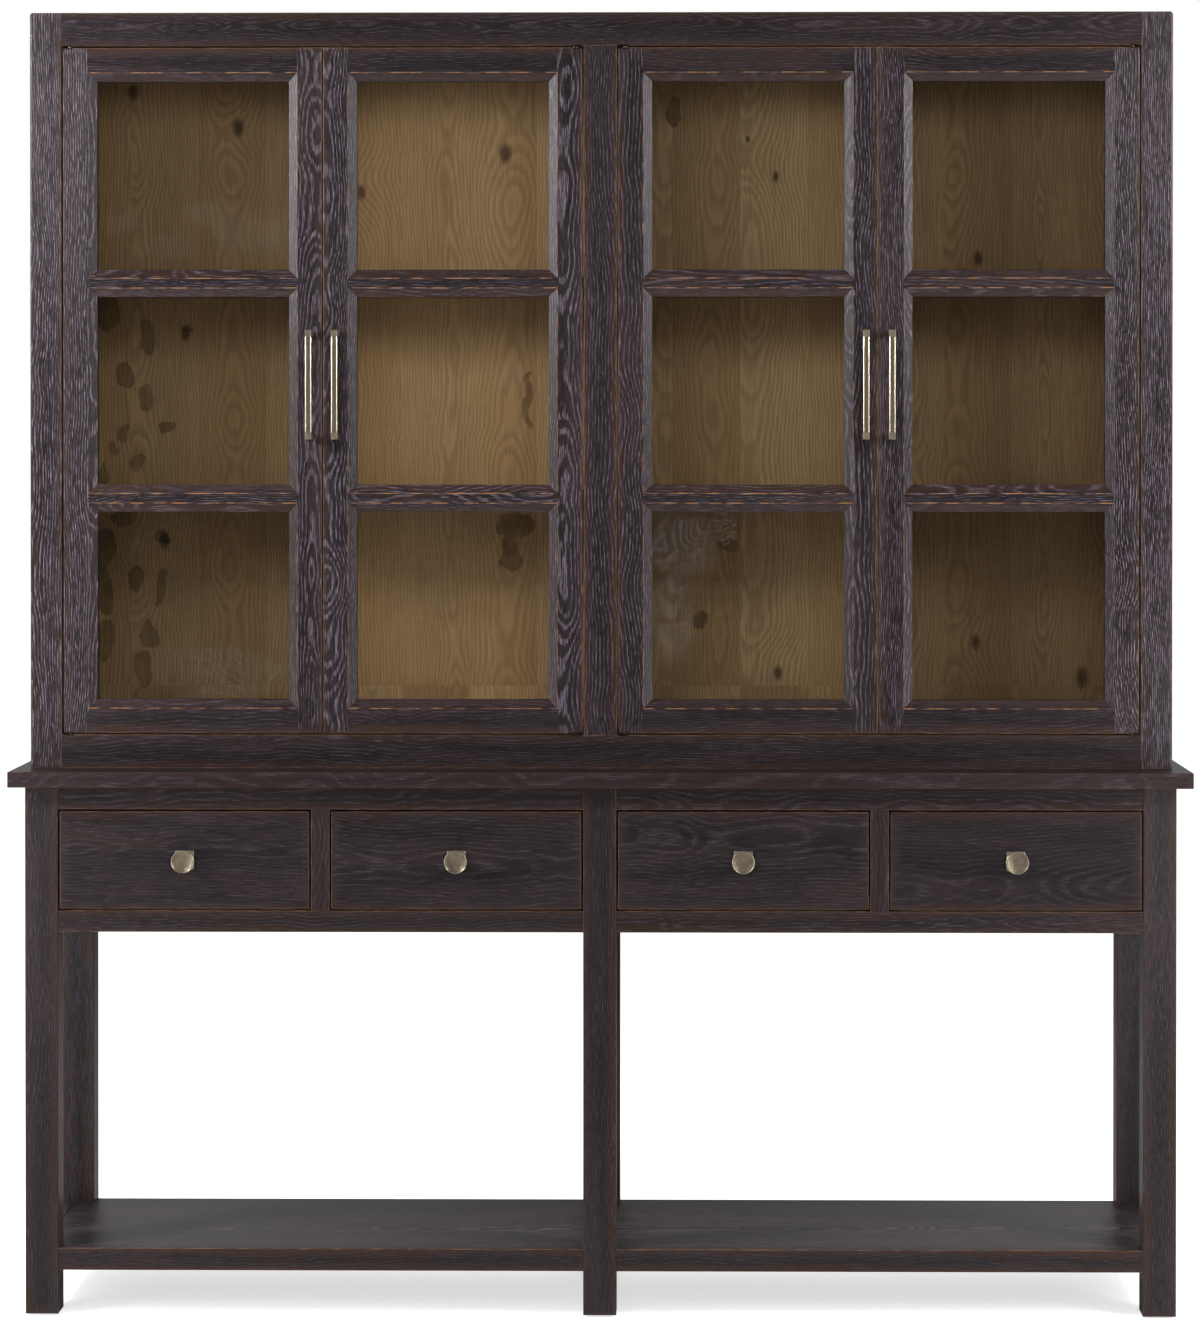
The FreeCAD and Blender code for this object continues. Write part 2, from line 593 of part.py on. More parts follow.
def make_hutch(dowels):
    """The hutch without its doors."""
    stile, mullion, rails, plates = make_face_frame()
    shelves, pins = make_shelves()
    outer = board((-side_x, -hutch_inner_x), (frame_back, leg_back), (hutch_low, hutch_high))
    tongue = board(around(-side_x + HUTCH_SIDE_THICKNESS / 2, TONGUE_THICKNESS),
                   (frame_back - TONGUE_LENGTH, frame_back), (opening_low, opening_high))
    side = joined(eased(outer, HUTCH_TOP_RADIUS, at_top_corner), tongue)
    housed_x = (-hutch_inner_x - HUTCH_HOUSING, hutch_inner_x + HUTCH_HOUSING)
    top = board(housed_x, (frame_back, leg_back), (board_low, hutch_high))
    floor = board(housed_x, (frame_back, leg_back), (opening_low - HUTCH_BOARD_THICKNESS, opening_low))
    partition = board(around(0, HUTCH_BOARD_THICKNESS), (frame_back, back_face),
                      (opening_low - HUTCH_HOUSING, board_low + HUTCH_HOUSING))
    back_x = (-hutch_inner_x - HUTCH_HOUSING, 0)
    back_y = (back_face, back_face + BACK_THICKNESS)
    rail_high = opening_low + HUTCH_BACK_RAIL_HEIGHT
    back = board(back_x, back_y, (rail_high, board_low + HUTCH_HOUSING))
    back_rail = board(back_x, (back_face - HUTCH_BACK_RAIL_STEP, back_y[1]),
                      (opening_low - HUTCH_HOUSING, rail_high))
    backs = both_sides([back, back_rail])
    catch = board(around(-(MULLION_WIDTH + bay_width) / 2, CATCH_WIDTH),
                  (door_back + STRIKE_THICKNESS + RUN_CLEARANCE,
                   door_back + STRIKE_THICKNESS + RUN_CLEARANCE + CATCH_DEPTH),
                  (door_low + door_height - STRIKE_DROP - STRIKE_HEIGHT, board_low))
    stiles = both_sides([carved(stile, rails + [tongue])]) + [mullion]
    partition = carved(partition, pins + backs)
    boards = [partition, top, floor] + backs
    sides = both_sides([carved(side, boards + pins + dowels)])
    return {
        "hutch_sides": sides,
        "hutch_face_stiles": stiles,
        "hutch_face_rails": rails,
        "hutch_top_board": [carved(top, [partition] + backs)],
        "hutch_floor_board": [carved(floor, [partition] + backs)],
        "hutch_back_panels": backs,
        "hutch_partition": [partition],
        "hutch_shelves": shelves,
        "shelf_pins": pins,
        "hinge_frame_plates": plates,
        "door_catches": both_sides([catch]),
        "hutch_dowels": dowels,
    }


# ---- the doors
def pane_spans():
    """The (low, high) height of each pane's glass edge above the door's lower edge."""
    spans = []
    for i in range(PANES):
        low = door_rail + i * (pane_height + muntin)
        spans.append((low, low + pane_height))
    return spans


def pane_outline(span, grow, y):
    """A pane's rectangle, grown all round, as a wire at depth y."""
    x0, x1 = door_stile - grow, door_width - door_stile + grow
    z0, z1 = span[0] - grow, span[1] + grow
    corners = [(x0, z0), (x1, z0), (x1, z1), (x0, z1), (x0, z0)]
    return Part.makePolygon([FreeCAD.Vector(x, y, z) for x, z in corners])


def sticking_cutters():
    """What is cut from the frame at each pane: the front bevel and the rebate behind the glass lip."""
    cutters = []
    beyond = 1.0
    grow = BEVEL_WIDTH * (1 + beyond / BEVEL_DEPTH)
    for span in pane_spans():
        cutters.append(Part.makeLoft([pane_outline(span, grow, -beyond),
                                      pane_outline(span, 0, BEVEL_DEPTH)], True, True))
        cutters.append(board((door_stile - REBATE_WIDTH, door_width - door_stile + REBATE_WIDTH),
                             (lip_back, DOOR_THICKNESS + beyond),
                             (span[0] - REBATE_WIDTH, span[1] + REBATE_WIDTH)))
    return cutters


def door_stile_blank():
    """The left stile in outline: its inner edge steps out to the glass beside each pane."""
    flat, inner = DOOR_STILE_FLAT, door_stile
    points = [(0, 0), (flat, 0)]
    for low, high in pane_spans():
        points += [(flat, low - BEVEL_WIDTH), (inner, low), (inner, high), (flat, high + BEVEL_WIDTH)]
    points += [(flat, door_height), (0, door_height)]
    return plate_outline(points, 0, DOOR_THICKNESS)


def cross_member(flat_low, flat_high, bevel_below, bevel_above, tenon, shoulder):
    """A rail or muntin with mitred bevels towards the panes, and a tenon at each end."""
    x0, x1 = DOOR_STILE_FLAT, door_width - DOOR_STILE_FLAT
    points = [(x0, flat_low)]
    if bevel_below:
        points += [(x0 + BEVEL_WIDTH, flat_low - BEVEL_WIDTH), (x1 - BEVEL_WIDTH, flat_low - BEVEL_WIDTH)]
    points += [(x1, flat_low), (x1, flat_high)]
    if bevel_above:
        points += [(x1 - BEVEL_WIDTH, flat_high + BEVEL_WIDTH), (x0 + BEVEL_WIDTH, flat_high + BEVEL_WIDTH)]
    points += [(x0, flat_high)]
    tongue = board((x0 - tenon, x1 + tenon), around(DOOR_THICKNESS / 2, TENON_THICKNESS),
                   (flat_low + shoulder, flat_high - shoulder))
    return joined(plate_outline(points, 0, DOOR_THICKNESS), tongue)


def door_cross_members():
    """The bottom rail, the muntins and the top rail of a door, from below."""
    members = [cross_member(0, DOOR_RAIL_FLAT, False, True, DOOR_TENON_LENGTH, TENON_SHOULDER)]
    for _, high in pane_spans()[:-1]:
        low = high + BEVEL_WIDTH
        members.append(cross_member(low, low + MUNTIN_FLAT, True, True,
                                    MUNTIN_TENON_LENGTH, MUNTIN_TENON_SHOULDER))
    members.append(cross_member(door_height - DOOR_RAIL_FLAT, door_height, True, False,
                                DOOR_TENON_LENGTH, TENON_SHOULDER))
    return members


def door_glass():
    """The three panes, each against the lip of its rebate."""
    grow = REBATE_WIDTH - GLASS_EDGE_CLEARANCE
    return [board((door_stile - grow, door_width - door_stile + grow), (lip_back, glass_back),
                  (low - grow, high + grow)) for low, high in pane_spans()]


def door_beads():
    """Four mitred beads behind each pane, flush with the door's inner face."""
    beads = []
    for low, high in pane_spans():
        x0, x1, w = door_stile, door_width - door_stile, REBATE_WIDTH
        sill = [(x0 - w, low - w), (x1 + w, low - w), (x1, low), (x0, low)]
        head = [(x0 - w, high + w), (x1 + w, high + w), (x1, high), (x0, high)]
        left = [(x0 - w, low - w), (x0, low), (x0, high), (x0 - w, high + w)]
        right = [(x1 + w, low - w), (x1, low), (x1, high), (x1 + w, high + w)]
        beads += [plate_outline(points, glass_back, DOOR_THICKNESS)
                  for points in (sill, head, left, right)]
    return beads


def door_pull(x):
    """A bar on two feet, with a screw into each foot through the stile."""
    low, high = around(PULL_RISE, PULL_LENGTH)
    bar_y = (-PULL_PROJECTION, -PULL_PROJECTION + PULL_BAR_THICKNESS)
    bar = board(around(x, PULL_WIDTH), bar_y, (low, high))
    bar = eased(bar, PULL_EDGE_RADIUS, lambda a, b: upright(a, b) and a.y < bar_y[0] + 1e-6)
    feet, screws = [], []
    for z in ((low, low + PULL_FOOT), (high - PULL_FOOT, high)):
        screw = make_screw((x, DOOR_THICKNESS, sum(z) / 2), DOOR_THICKNESS)
        foot = board(around(x, PULL_WIDTH), (bar_y[1], 0), z)
        feet.append(carved(foot, [screw]))
        screws.append(screw)
    return [bar] + feet, screws


def door_fittings(hinge_side, free_x):
    """A pivot at each of the door's hinge corners, and the strike that meets the catch."""
    at = PIVOT_INSET if hinge_side < 0 else door_width - PIVOT_INSET
    edge = 0 if hinge_side < 0 else door_width - PIVOT_PLATE_LENGTH
    reach = REVEAL + PIVOT_PLATE_THICKNESS - PIVOT_PLAY
    pieces = []
    for z, way in ((0, -1), (door_height, 1)):
        plate = board((edge, edge + PIVOT_PLATE_LENGTH), (0, PIVOT_PLATE_DEPTH),
                      sorted((z, z - way * PIVOT_PLATE_THICKNESS)))
        collar = rod((at, PIVOT_DEPTH, z), (0, 0, way), PIVOT_COLLAR_RADIUS, REVEAL - PIVOT_PLAY)
        pin = rod((at, PIVOT_DEPTH, z), (0, 0, way), PIVOT_RADIUS, reach)
        pieces.append(joined(plate, collar, pin))
    strike_top = door_height - STRIKE_DROP
    strike_x = sorted((free_x, free_x + hinge_side * STRIKE_WIDTH))
    pieces.append(board(strike_x, (DOOR_THICKNESS, DOOR_THICKNESS + STRIKE_THICKNESS),
                        (strike_top - STRIKE_HEIGHT, strike_top)))
    return pieces


def make_door(number, left, hinge_side):
    """One door, built at its own lower left corner and then set in its place."""
    free_edge = door_width if hinge_side < 0 else 0
    pull, screws = door_pull(free_edge + hinge_side * PULL_INSET)
    fittings = door_fittings(hinge_side, free_edge)
    cutters = sticking_cutters()
    members = door_cross_members()
    stile = door_stile_blank()
    other = mirrored(stile).translated(FreeCAD.Vector(door_width, 0, 0))
    stiles = [carved(s, cutters + members + fittings[:2] + screws) for s in (stile, other)]
    members = [carved(m, cutters) for m in members]
    parts = {"stiles": stiles, "rails": members, "glass": door_glass(),
             "beads": door_beads(), "pull": pull, "fittings": fittings + screws}
    place = FreeCAD.Vector(left, hutch_face, door_low)
    return {f"door_{number}_{name}": [s.translated(place) for s in shapes]
            for name, shapes in parts.items()}


# ---- the whole piece
def make_dresser():
    """Every node of the dresser, by name, as a list of solids."""
    nodes = {}
    dowels = make_dowels()
    front_legs, rear_legs = leg_blanks(leg_front), leg_blanks(leg_inner_back)
    nodes.update(make_case())
    nodes.update(make_runners())
    nodes.update(make_low_shelf(front_legs + rear_legs))
    nodes.update(make_glides())
    jointed = [solid for name in ("base_front_rails", "base_side_panels", "base_back_panels",
                                  "drawer_partitions", "lower_shelf_rails", "leg_glides")
               for solid in nodes[name]]
    nodes["front_legs"] = [carved(leg, jointed) for leg in front_legs]
    nodes["rear_legs"] = [carved(leg, jointed) for leg in rear_legs]
    nodes.update(make_counter(dowels))
    for number, x in enumerate(drawer_middles(), start=1):
        nodes.update(make_drawer(number, x))
    nodes.update(make_hutch(dowels))
    for number, left, hinge_side in door_places():
        nodes.update(make_door(number, left, hinge_side))
    return nodes


os.makedirs("parts", exist_ok=True)
for node, solids in make_dresser().items():
    shape = solids[0] if len(solids) == 1 else Part.makeCompound(solids)
    shape.exportStep(f"parts/{node}.step")
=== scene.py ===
"""Looks of the dresser with its glazed hutch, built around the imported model.

Metres. +X is to the viewer's right, -Y towards the viewer and +Z up, as in the frame.
"""

import math
import random
from collections import namedtuple

import bmesh
import bpy
import numpy as np
from mathutils import Euler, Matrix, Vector, noise


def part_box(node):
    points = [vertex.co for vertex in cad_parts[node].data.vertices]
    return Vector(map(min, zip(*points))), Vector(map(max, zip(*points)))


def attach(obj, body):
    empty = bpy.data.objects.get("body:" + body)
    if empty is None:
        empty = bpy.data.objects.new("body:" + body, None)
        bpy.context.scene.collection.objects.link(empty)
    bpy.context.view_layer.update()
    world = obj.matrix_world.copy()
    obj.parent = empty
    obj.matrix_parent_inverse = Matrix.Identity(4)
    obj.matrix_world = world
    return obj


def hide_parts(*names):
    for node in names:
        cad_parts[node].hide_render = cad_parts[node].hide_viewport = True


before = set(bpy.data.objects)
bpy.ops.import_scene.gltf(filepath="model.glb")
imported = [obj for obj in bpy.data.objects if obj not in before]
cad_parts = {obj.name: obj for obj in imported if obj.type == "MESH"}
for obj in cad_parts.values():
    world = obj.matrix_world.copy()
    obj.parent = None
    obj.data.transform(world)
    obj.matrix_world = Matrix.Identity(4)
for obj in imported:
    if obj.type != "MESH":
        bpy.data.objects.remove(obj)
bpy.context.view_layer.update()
MM = 0.001


# ------------------------------------------------------------------ camera
IMAGE_LONG_SIDE = 36.0         # sensor, mm
CAMERA_LENS = 104.02
CAMERA_PLACE = (0.1394, -6.8245, 1.5006)
CAMERA_YAW = 0.756             # degrees to the left of straight ahead
CAMERA_PITCH = 0.513           # degrees below the horizon
CAMERA_SHIFT = (-0.0226, -0.1397)
CAMERA_TURN = Euler((math.radians(90 - CAMERA_PITCH), 0, math.radians(CAMERA_YAW)))
PHOTO_WIDTH = 1200             # pixels
PHOTO_HEIGHT = 1331


def make_camera():
    data = bpy.data.cameras.new("camera")
    data.sensor_width = IMAGE_LONG_SIDE
    data.lens = CAMERA_LENS
    data.shift_x, data.shift_y = CAMERA_SHIFT
    data.clip_start = 0.1
    data.clip_end = 200
    camera = bpy.data.objects.new("camera", data)
    camera.location = CAMERA_PLACE
    camera.rotation_euler = CAMERA_TURN
    bpy.context.scene.collection.objects.link(camera)
    bpy.context.scene.camera = camera
    bpy.context.scene.view_settings.view_transform = "Standard"


def seen_at(column, row, plane):
    """The point of the upright plane y = plane that the camera sees at a pixel of the photograph."""
    right = (column - PHOTO_WIDTH / 2) / PHOTO_HEIGHT + CAMERA_SHIFT[0]
    up = (PHOTO_HEIGHT / 2 - row) / PHOTO_HEIGHT + CAMERA_SHIFT[1]
    ray = Vector((right * IMAGE_LONG_SIDE, up * IMAGE_LONG_SIDE, -CAMERA_LENS))
    ray.rotate(CAMERA_TURN)
    return Vector(CAMERA_PLACE) + ray * ((plane - CAMERA_PLACE[1]) / ray.y)


# ------------------------------------------------------------------ node trees
class Graph:
    """Short names for building a node tree."""

    def __init__(self, tree):
        self.tree = tree
        tree.nodes.clear()

    def node(self, kind, inputs=None, **settings):
        made = self.tree.nodes.new("ShaderNode" + kind)
        for name, value in settings.items():
            setattr(made, name, value)
        for name, value in (inputs or {}).items():
            self.feed(made.inputs[name], value)
        return made

    def feed(self, socket, value):
        if isinstance(value, bpy.types.NodeSocket):
            self.tree.links.new(value, socket)
        else:
            socket.default_value = value

    def math(self, operation, a, b=0.0):
        return self.node("Math", {0: a, 1: b}, operation=operation).outputs[0]

    def add(self, a, b):
        return self.math("ADD", a, b)

    def sub(self, a, b):
        return self.math("SUBTRACT", a, b)

    def mul(self, a, b):
        return self.math("MULTIPLY", a, b)

    def vector(self, operation, a, b=(0, 0, 0)):
        return self.node("VectorMath", {0: a, 1: b}, operation=operation).outputs[0]

    def stretch(self, vector, scale, offset):
        """The vector scaled along each axis, and moved."""
        return self.vector("ADD", self.vector("MULTIPLY", vector, scale), offset)

    def length(self, a):
        return self.node("VectorMath", {0: a}, operation="LENGTH").outputs["Value"]

    def split(self, a):
        return self.node("SeparateXYZ", {0: a}).outputs[:3]

    def join(self, x, y, z=0.0):
        return self.node("CombineXYZ", {0: x, 1: y, 2: z}).outputs[0]

    def attribute(self, name, output="Vector"):
        return self.node("Attribute", attribute_name=name, attribute_type="GEOMETRY").outputs[output]

    def place(self):
        return self.node("TexCoord").outputs["Object"]

    def noise(self, vector, scale=1.0, detail=2.0, roughness=0.5, output="Fac"):
        inputs = {"Vector": vector, "Scale": scale, "Detail": detail, "Roughness": roughness}
        return self.node("TexNoise", inputs).outputs[output]

    def smooth(self, value, low, high, start=0.0, end=1.0):
        """start below low, end above high, and a smooth step between them."""
        inputs = {0: value, 1: low, 2: high, 3: start, 4: end}
        return self.node("MapRange", inputs, interpolation_type="SMOOTHSTEP").outputs[0]

    def mix(self, share, a, b, blend="MIX"):
        made = self.node("Mix", data_type="RGBA", blend_type=blend)
        self.feed(made.inputs[0], share)
        self.feed(made.inputs[6], a)
        self.feed(made.inputs[7], b)
        return made.outputs[2]

    def bump(self, height, depth, strength=1.0):
        """depth is how far a height of 1 stands out, in metres."""
        return self.node("Bump", {"Height": height, "Distance": depth, "Strength": strength}).outputs[0]

    def surface(self, shader):
        output = self.tree.nodes.new("ShaderNodeOutputMaterial")
        self.tree.links.new(shader, output.inputs["Surface"])


def srgb(red, green, blue):
    """A colour given as 0 to 255 values, as the linear values that shaders take."""
    def linear(value):
        value = value / 255
        return value / 12.92 if value <= 0.04045 else ((value + 0.055) / 1.055) ** 2.4
    return (linear(red), linear(green), linear(blue), 1.0)


def new_material(name):
    material = bpy.data.materials.new(name)
    material.use_nodes = True
    return material, Graph(material.node_tree)


# ------------------------------------------------------------------ oak
def growth_rings(g, grain, seed, ring):
    """Growth rings of a board sawn from a log: their count, how square they are to the face, and the pores.

    grain is along, across and through the board, in metres, and seed places the board in its log.
    """
    side, depth, lean = g.split(seed)
    along, across, through = g.split(grain)
    slow = g.join(g.mul(along, 3.4), g.mul(side, 37.0), g.mul(depth, 53.0))
    sway, heave, _ = g.split(g.vector("SUBTRACT", g.noise(slow, 1.0, 2.0, 0.5, "Color"), (0.5, 0.5, 0.5)))
    shaken = g.stretch(grain, (8.0, 55.0, 55.0), g.vector("MULTIPLY", seed, (9.0, 7.0, 5.0)))
    ripple = g.sub(g.noise(shaken, 1.0, 3.0, 0.6), 0.5)
    x = g.add(g.sub(across, g.mul(g.sub(side, 0.5), 0.14)), g.mul(sway, 0.05))
    tilt = g.mul(along, g.mul(g.sub(lean, 0.5), 0.06))
    z = g.add(g.add(through, g.add(g.mul(depth, 0.05), 0.020)), g.add(tilt, g.mul(heave, 0.08)))
    reach = g.length(g.join(x, z))
    square = g.math("DIVIDE", g.math("ABSOLUTE", x), reach)
    splinter = g.stretch(grain, (26.0, 560.0, 560.0), g.vector("MULTIPLY", seed, (91.0, 57.0, 73.0)))
    fibre = g.noise(splinter, 1.0, 2.0, 0.6)
    jag = g.mul(g.sub(fibre, 0.5), 0.0026)
    count = g.math("DIVIDE", g.add(g.add(reach, g.mul(ripple, 0.0034)), jag), ring)
    return count, square, fibre


def arris_distance(g, grain, half):
    """How far a point of the surface is from the board's nearest long or end arris, in metres."""
    room = g.vector("SUBTRACT", half, g.vector("ABSOLUTE", grain))
    x, y, z = g.split(room)
    return g.math("MAXIMUM", g.math("MINIMUM", x, y), g.math("MINIMUM", g.math("MAXIMUM", x, y), z))


RING_WIDTH = 4.0 * MM          # wide-ringed oak, as the brushed-out lines show
STAIN_DEEP = srgb(22, 17, 18)
STAIN_THIN = srgb(35, 28, 30)
STAIN_RUST = srgb(58, 38, 27)
PORE_SHADOW = srgb(11, 8, 9)
LIME_AND_SHEEN = srgb(132, 120, 136)     # the pale filler in the brushed pores, painted paler also as the sheen that the brushed grooves catch
HALO_BROWN = srgb(94, 62, 40)
RUBBED_BROWN = srgb(98, 66, 43)
# bare wood on the eased arrises, painted lighter also as the highlight they catch
BARE_ARRIS_AND_HIGHLIGHT = srgb(132, 94, 62)
HALO_WIDTH = 18 * MM           # how far a brown halo reaches in from an arris
RUB_WIDTH = 1.8 * MM


def dark_oak(name, sheen, matt):
    """Wire-brushed oak, stained near black, with pale lavender pores that also carry a painted sheen, and
    worn brown arrises that also carry a painted highlight.

    sheen is its specular level, and matt the roughness of its smoothest places.
    """
    material, g = new_material(name)
    grain, seed = g.attribute("grain"), g.attribute("seed")
    half, tone = g.attribute("half"), g.attribute("tone")
    streak, glow, ring_share = g.split(tone)
    count, square, fibre = growth_rings(g, grain, seed, g.mul(ring_share, RING_WIDTH))
    phase = g.math("FRACT", count)
    width = g.smooth(square, 0.15, 0.75, 0.55, 0.42)
    early = g.mul(g.smooth(phase, 0.0, 0.10), g.smooth(g.sub(phase, width), -0.14, 0.10, 1.0, 0.0))
    pores = g.noise(g.stretch(grain, (48.0, 820.0, 820.0), seed), 1.0, 2.0, 0.65)
    # Pale lime in the pores and flecks: partly the real filler, partly a painted sheen on the brushed
    # grooves.
    lime_and_sheen = g.smooth(g.add(g.mul(early, 0.36), g.mul(pores, 1.0)), 0.74, 1.08)
    fleck = g.smooth(g.add(pores, g.mul(g.sub(fibre, 0.5), 0.5)), 0.58, 0.78, 0.0, 0.36)
    lime_and_sheen = g.mul(g.math("MAXIMUM", lime_and_sheen, fleck), streak)
    drift = g.noise(g.stretch(grain, (3.0, 26.0, 26.0), seed), 1.0, 3.0, 0.6)
    stain = g.mix(g.smooth(drift, 0.3, 0.7), STAIN_DEEP, STAIN_THIN)
    rust = g.smooth(drift, 0.52, 0.68, 0.0, 0.34)
    stain = g.mix(g.mul(rust, glow), stain, STAIN_RUST)
    stain = g.mix(g.smooth(pores, 0.30, 0.55, 0.6, 0.0), stain, PORE_SHADOW)
    stain = g.mix(lime_and_sheen, stain, LIME_AND_SHEEN)
    distance = arris_distance(g, grain, half)
    uneven = g.noise(g.vector("MULTIPLY", grain, (38.0, 90.0, 90.0)), 1.0, 3.0, 0.6)
    _, facing, _ = g.split(g.node("TexCoord").outputs["Normal"])      # fronts wear more than edges
    glow = g.mul(glow, g.smooth(facing, -0.7, -0.3, 1.0, 0.25))
    halo = g.smooth(g.add(distance, g.mul(g.sub(drift, 0.5), 0.05)), 0.0, HALO_WIDTH, 0.20, 0.0)
    stain = g.mix(g.mul(halo, glow), stain, HALO_BROWN)
    rub = g.smooth(g.add(distance, g.mul(g.sub(uneven, 0.5), 0.008)), 0.0, RUB_WIDTH, 0.30, 0.0)
    stain = g.mix(g.mul(rub, glow), stain, RUBBED_BROWN)
    # The eased arris faces are painted light brown: bare worn wood, and partly a painted highlight.
    arris = g.mul(g.attribute("arris", "Fac"), g.smooth(uneven, 0.40, 0.64))
    bare_and_highlight = g.math("MINIMUM", g.mul(arris, g.mul(glow, 1.25)), 1.0)
    stain = g.mix(g.mul(bare_and_highlight, 0.8), stain, BARE_ARRIS_AND_HIGHLIGHT)
    height = g.sub(g.smooth(pores, 0.3, 0.7, 1.0, 0.4), g.mul(lime_and_sheen, 0.5))
    shader = g.node("BsdfPrincipled", {
        "Base Color": stain,
        "Roughness": g.smooth(pores, 0.3, 0.75, matt, matt + 0.14),
        "Specular IOR Level": sheen,
        "Normal": g.bump(height, 0.0005, 0.5),
    })
    g.surface(shader.outputs[0])
    return material


NATURAL_RING = 5.2 * MM
NATURAL_LIGHT = srgb(202, 172, 132)
NATURAL_DARK = srgb(176, 144, 102)
KNOT = srgb(60, 38, 22)

# The back's knots: (across, up) in metres, and the knot's radius.
KNOTS = (
    (-0.182, 2.034, 0.011), (-0.446, 1.964, 0.008), (-0.671, 2.082, 0.010), (-0.769, 1.705, 0.008),
    (-0.808, 1.326, 0.009), (-0.865, 2.148, 0.010), (0.313, 1.992, 0.006), (0.262, 2.060, 0.004),
    (0.317, 1.083, 0.008), (0.683, 1.842, 0.008), (0.679, 1.140, 0.008), (0.873, 1.075, 0.011),
    (-0.393, 1.506, 0.001),
)


def natural_oak(name, knots):
    """Clear-finished oak with soft golden figure, and a few knots where they are given."""
    material, g = new_material(name)
    grain, seed = g.attribute("grain"), g.attribute("seed")
    across, _, up = g.split(g.place())
    bulge, core = 0.0, 0.0
    for x, z, radius in knots:
        offset = g.join(g.sub(across, x), g.mul(g.sub(up, z), 0.6))
        distance = g.length(offset)
        bulge = g.add(bulge, g.smooth(distance, 0.0, 0.07, 0.012, 0.0))
        core = g.add(core, g.smooth(distance, radius * 0.4, radius * 1.5, 1.0, 0.0))
    count, _, pores = growth_rings(g, grain, seed, NATURAL_RING)
    count = g.add(count, g.math("DIVIDE", bulge, NATURAL_RING))
    phase = g.math("FRACT", count)
    early = g.mul(g.smooth(phase, 0.0, 0.25), g.smooth(phase, 0.25, 0.95, 1.0, 0.0))
    streaky = g.stretch(grain, (12.0, 420.0, 420.0), g.vector("MULTIPLY", seed, (31.0, 17.0, 43.0)))
    fibre = g.noise(streaky, 1.0, 3.0, 0.7)
    _, _, hue = g.split(seed)
    drift = g.noise(g.stretch(grain, (1.5, 9.0, 9.0), seed), 1.0, 3.0, 0.6)
    wood = g.mix(g.smooth(g.add(g.mul(hue, 0.6), g.mul(drift, 0.4)), 0.2, 0.8), NATURAL_LIGHT, NATURAL_DARK)
    figure = g.smooth(g.add(g.add(g.mul(early, 0.24), g.mul(pores, 0.45)), g.mul(fibre, 0.80)), 0.42, 0.98)
    figured = tuple(0.46 * part for part in NATURAL_DARK[:3]) + (1.0,)
    wood = g.mix(g.mul(figure, 0.62), wood, figured)
    wood = g.mix(g.math("MINIMUM", g.mul(core, 0.8), 0.85), wood, KNOT)
    shader = g.node("BsdfPrincipled", {
        "Base Color": wood,
        "Roughness": g.smooth(figure, 0.0, 1.0, 0.5, 0.64),
        "Specular IOR Level": 0.35,
        "Normal": g.bump(g.sub(1.0, figure), 0.0002, 0.5),
    })
    g.surface(shader.outputs[0])
    return material


# ------------------------------------------------------------------ glass and metal
# Marks in the old glass, door by door, as read off the photograph, in its pixels.
Oval = namedtuple("Oval", "column row half_width half_height")
# Dark islands painted in the glass's tint, standing for dark reflections and patches of shade seen through
# it.
PAINTED_DARK_PATCHES = {
    1: (Oval(106, 310, 14, 21), Oval(145, 335, 7, 19), Oval(185, 331, 5, 4), Oval(125, 376, 11, 13),
        Oval(145, 397, 7, 15), Oval(124, 432, 5, 10), Oval(113, 450, 5, 7), Oval(167, 427, 8, 6),
        Oval(139, 461, 8, 6), Oval(103, 475, 8, 9), Oval(124, 518, 14, 12), Oval(105, 549, 14, 21),
        Oval(103, 592, 10, 24), Oval(163, 538, 6, 6), Oval(136, 579, 7, 10), Oval(160, 590, 5, 22),
        Oval(150, 636, 9, 15), Oval(145, 670, 8, 18), Oval(104, 640, 10, 18)),
    2: (Oval(514, 528, 18, 14), Oval(510, 555, 9, 18), Oval(527, 400, 4, 29)),
    3: (Oval(676, 110, 8, 17), Oval(700, 620, 7, 7), Oval(729, 545, 12, 6)),
    4: (),
}
# Ripples, whose ridges carry a painted glint.
RIPPLES = {
    1: (Oval(215, 673, 63, 29),),
    2: (Oval(514, 373, 13, 9),),
    3: (Oval(680, 545, 29, 29), Oval(725, 525, 13, 20), Oval(672, 617, 20, 38)),
    4: (),
}
# Pale patches painted on the glass as the light reflected in it.
PAINTED_PALE_PATCHES = {
    1: (Oval(125, 223, 17, 8), Oval(165, 247, 23, 12), Oval(206, 212, 21, 8), Oval(232, 229, 20, 17),
        Oval(266, 235, 27, 21)),
    2: (),
    3: (Oval(680, 545, 35, 35), Oval(672, 617, 25, 44)),
    4: (),
}
SHADED_CLEARNESS = {1: 0.88, 2: 1.0, 3: 0.89, 4: 0.83}        # light that each face of a door's glass lets through, lowered on doors 1, 3 and 4 as painted shade on the inside behind them
PAINTED_DARK_DEPTH = 0.30             # share of the light that a face stops in the darkest painted patch
RIPPLE_GLINT_SHARE = 0.014            # share of painted white glint on a ripple's ridge
PAINTED_PALE_SHARE = 0.005              # and of painted pale reflection on a patch


def patches(g, place, plane, ovals):
    """How deep a point lies in a list of ovals on the glass: 1 in an oval's middle and 0 at its rim."""
    depth = 0.0
    for oval in ovals:
        middle = seen_at(oval.column, oval.row, plane)
        half = seen_at(oval.column + oval.half_width, oval.row - oval.half_height, plane) - middle
        across, _, up = g.split(g.vector("MULTIPLY", g.vector("SUBTRACT", place, (middle.x, 0, middle.z)),
                                         (1 / half.x, 0, 1 / half.z)))
        depth = g.math("MAXIMUM", depth, g.sub(1.35, g.length(g.join(across, up))))
    return depth


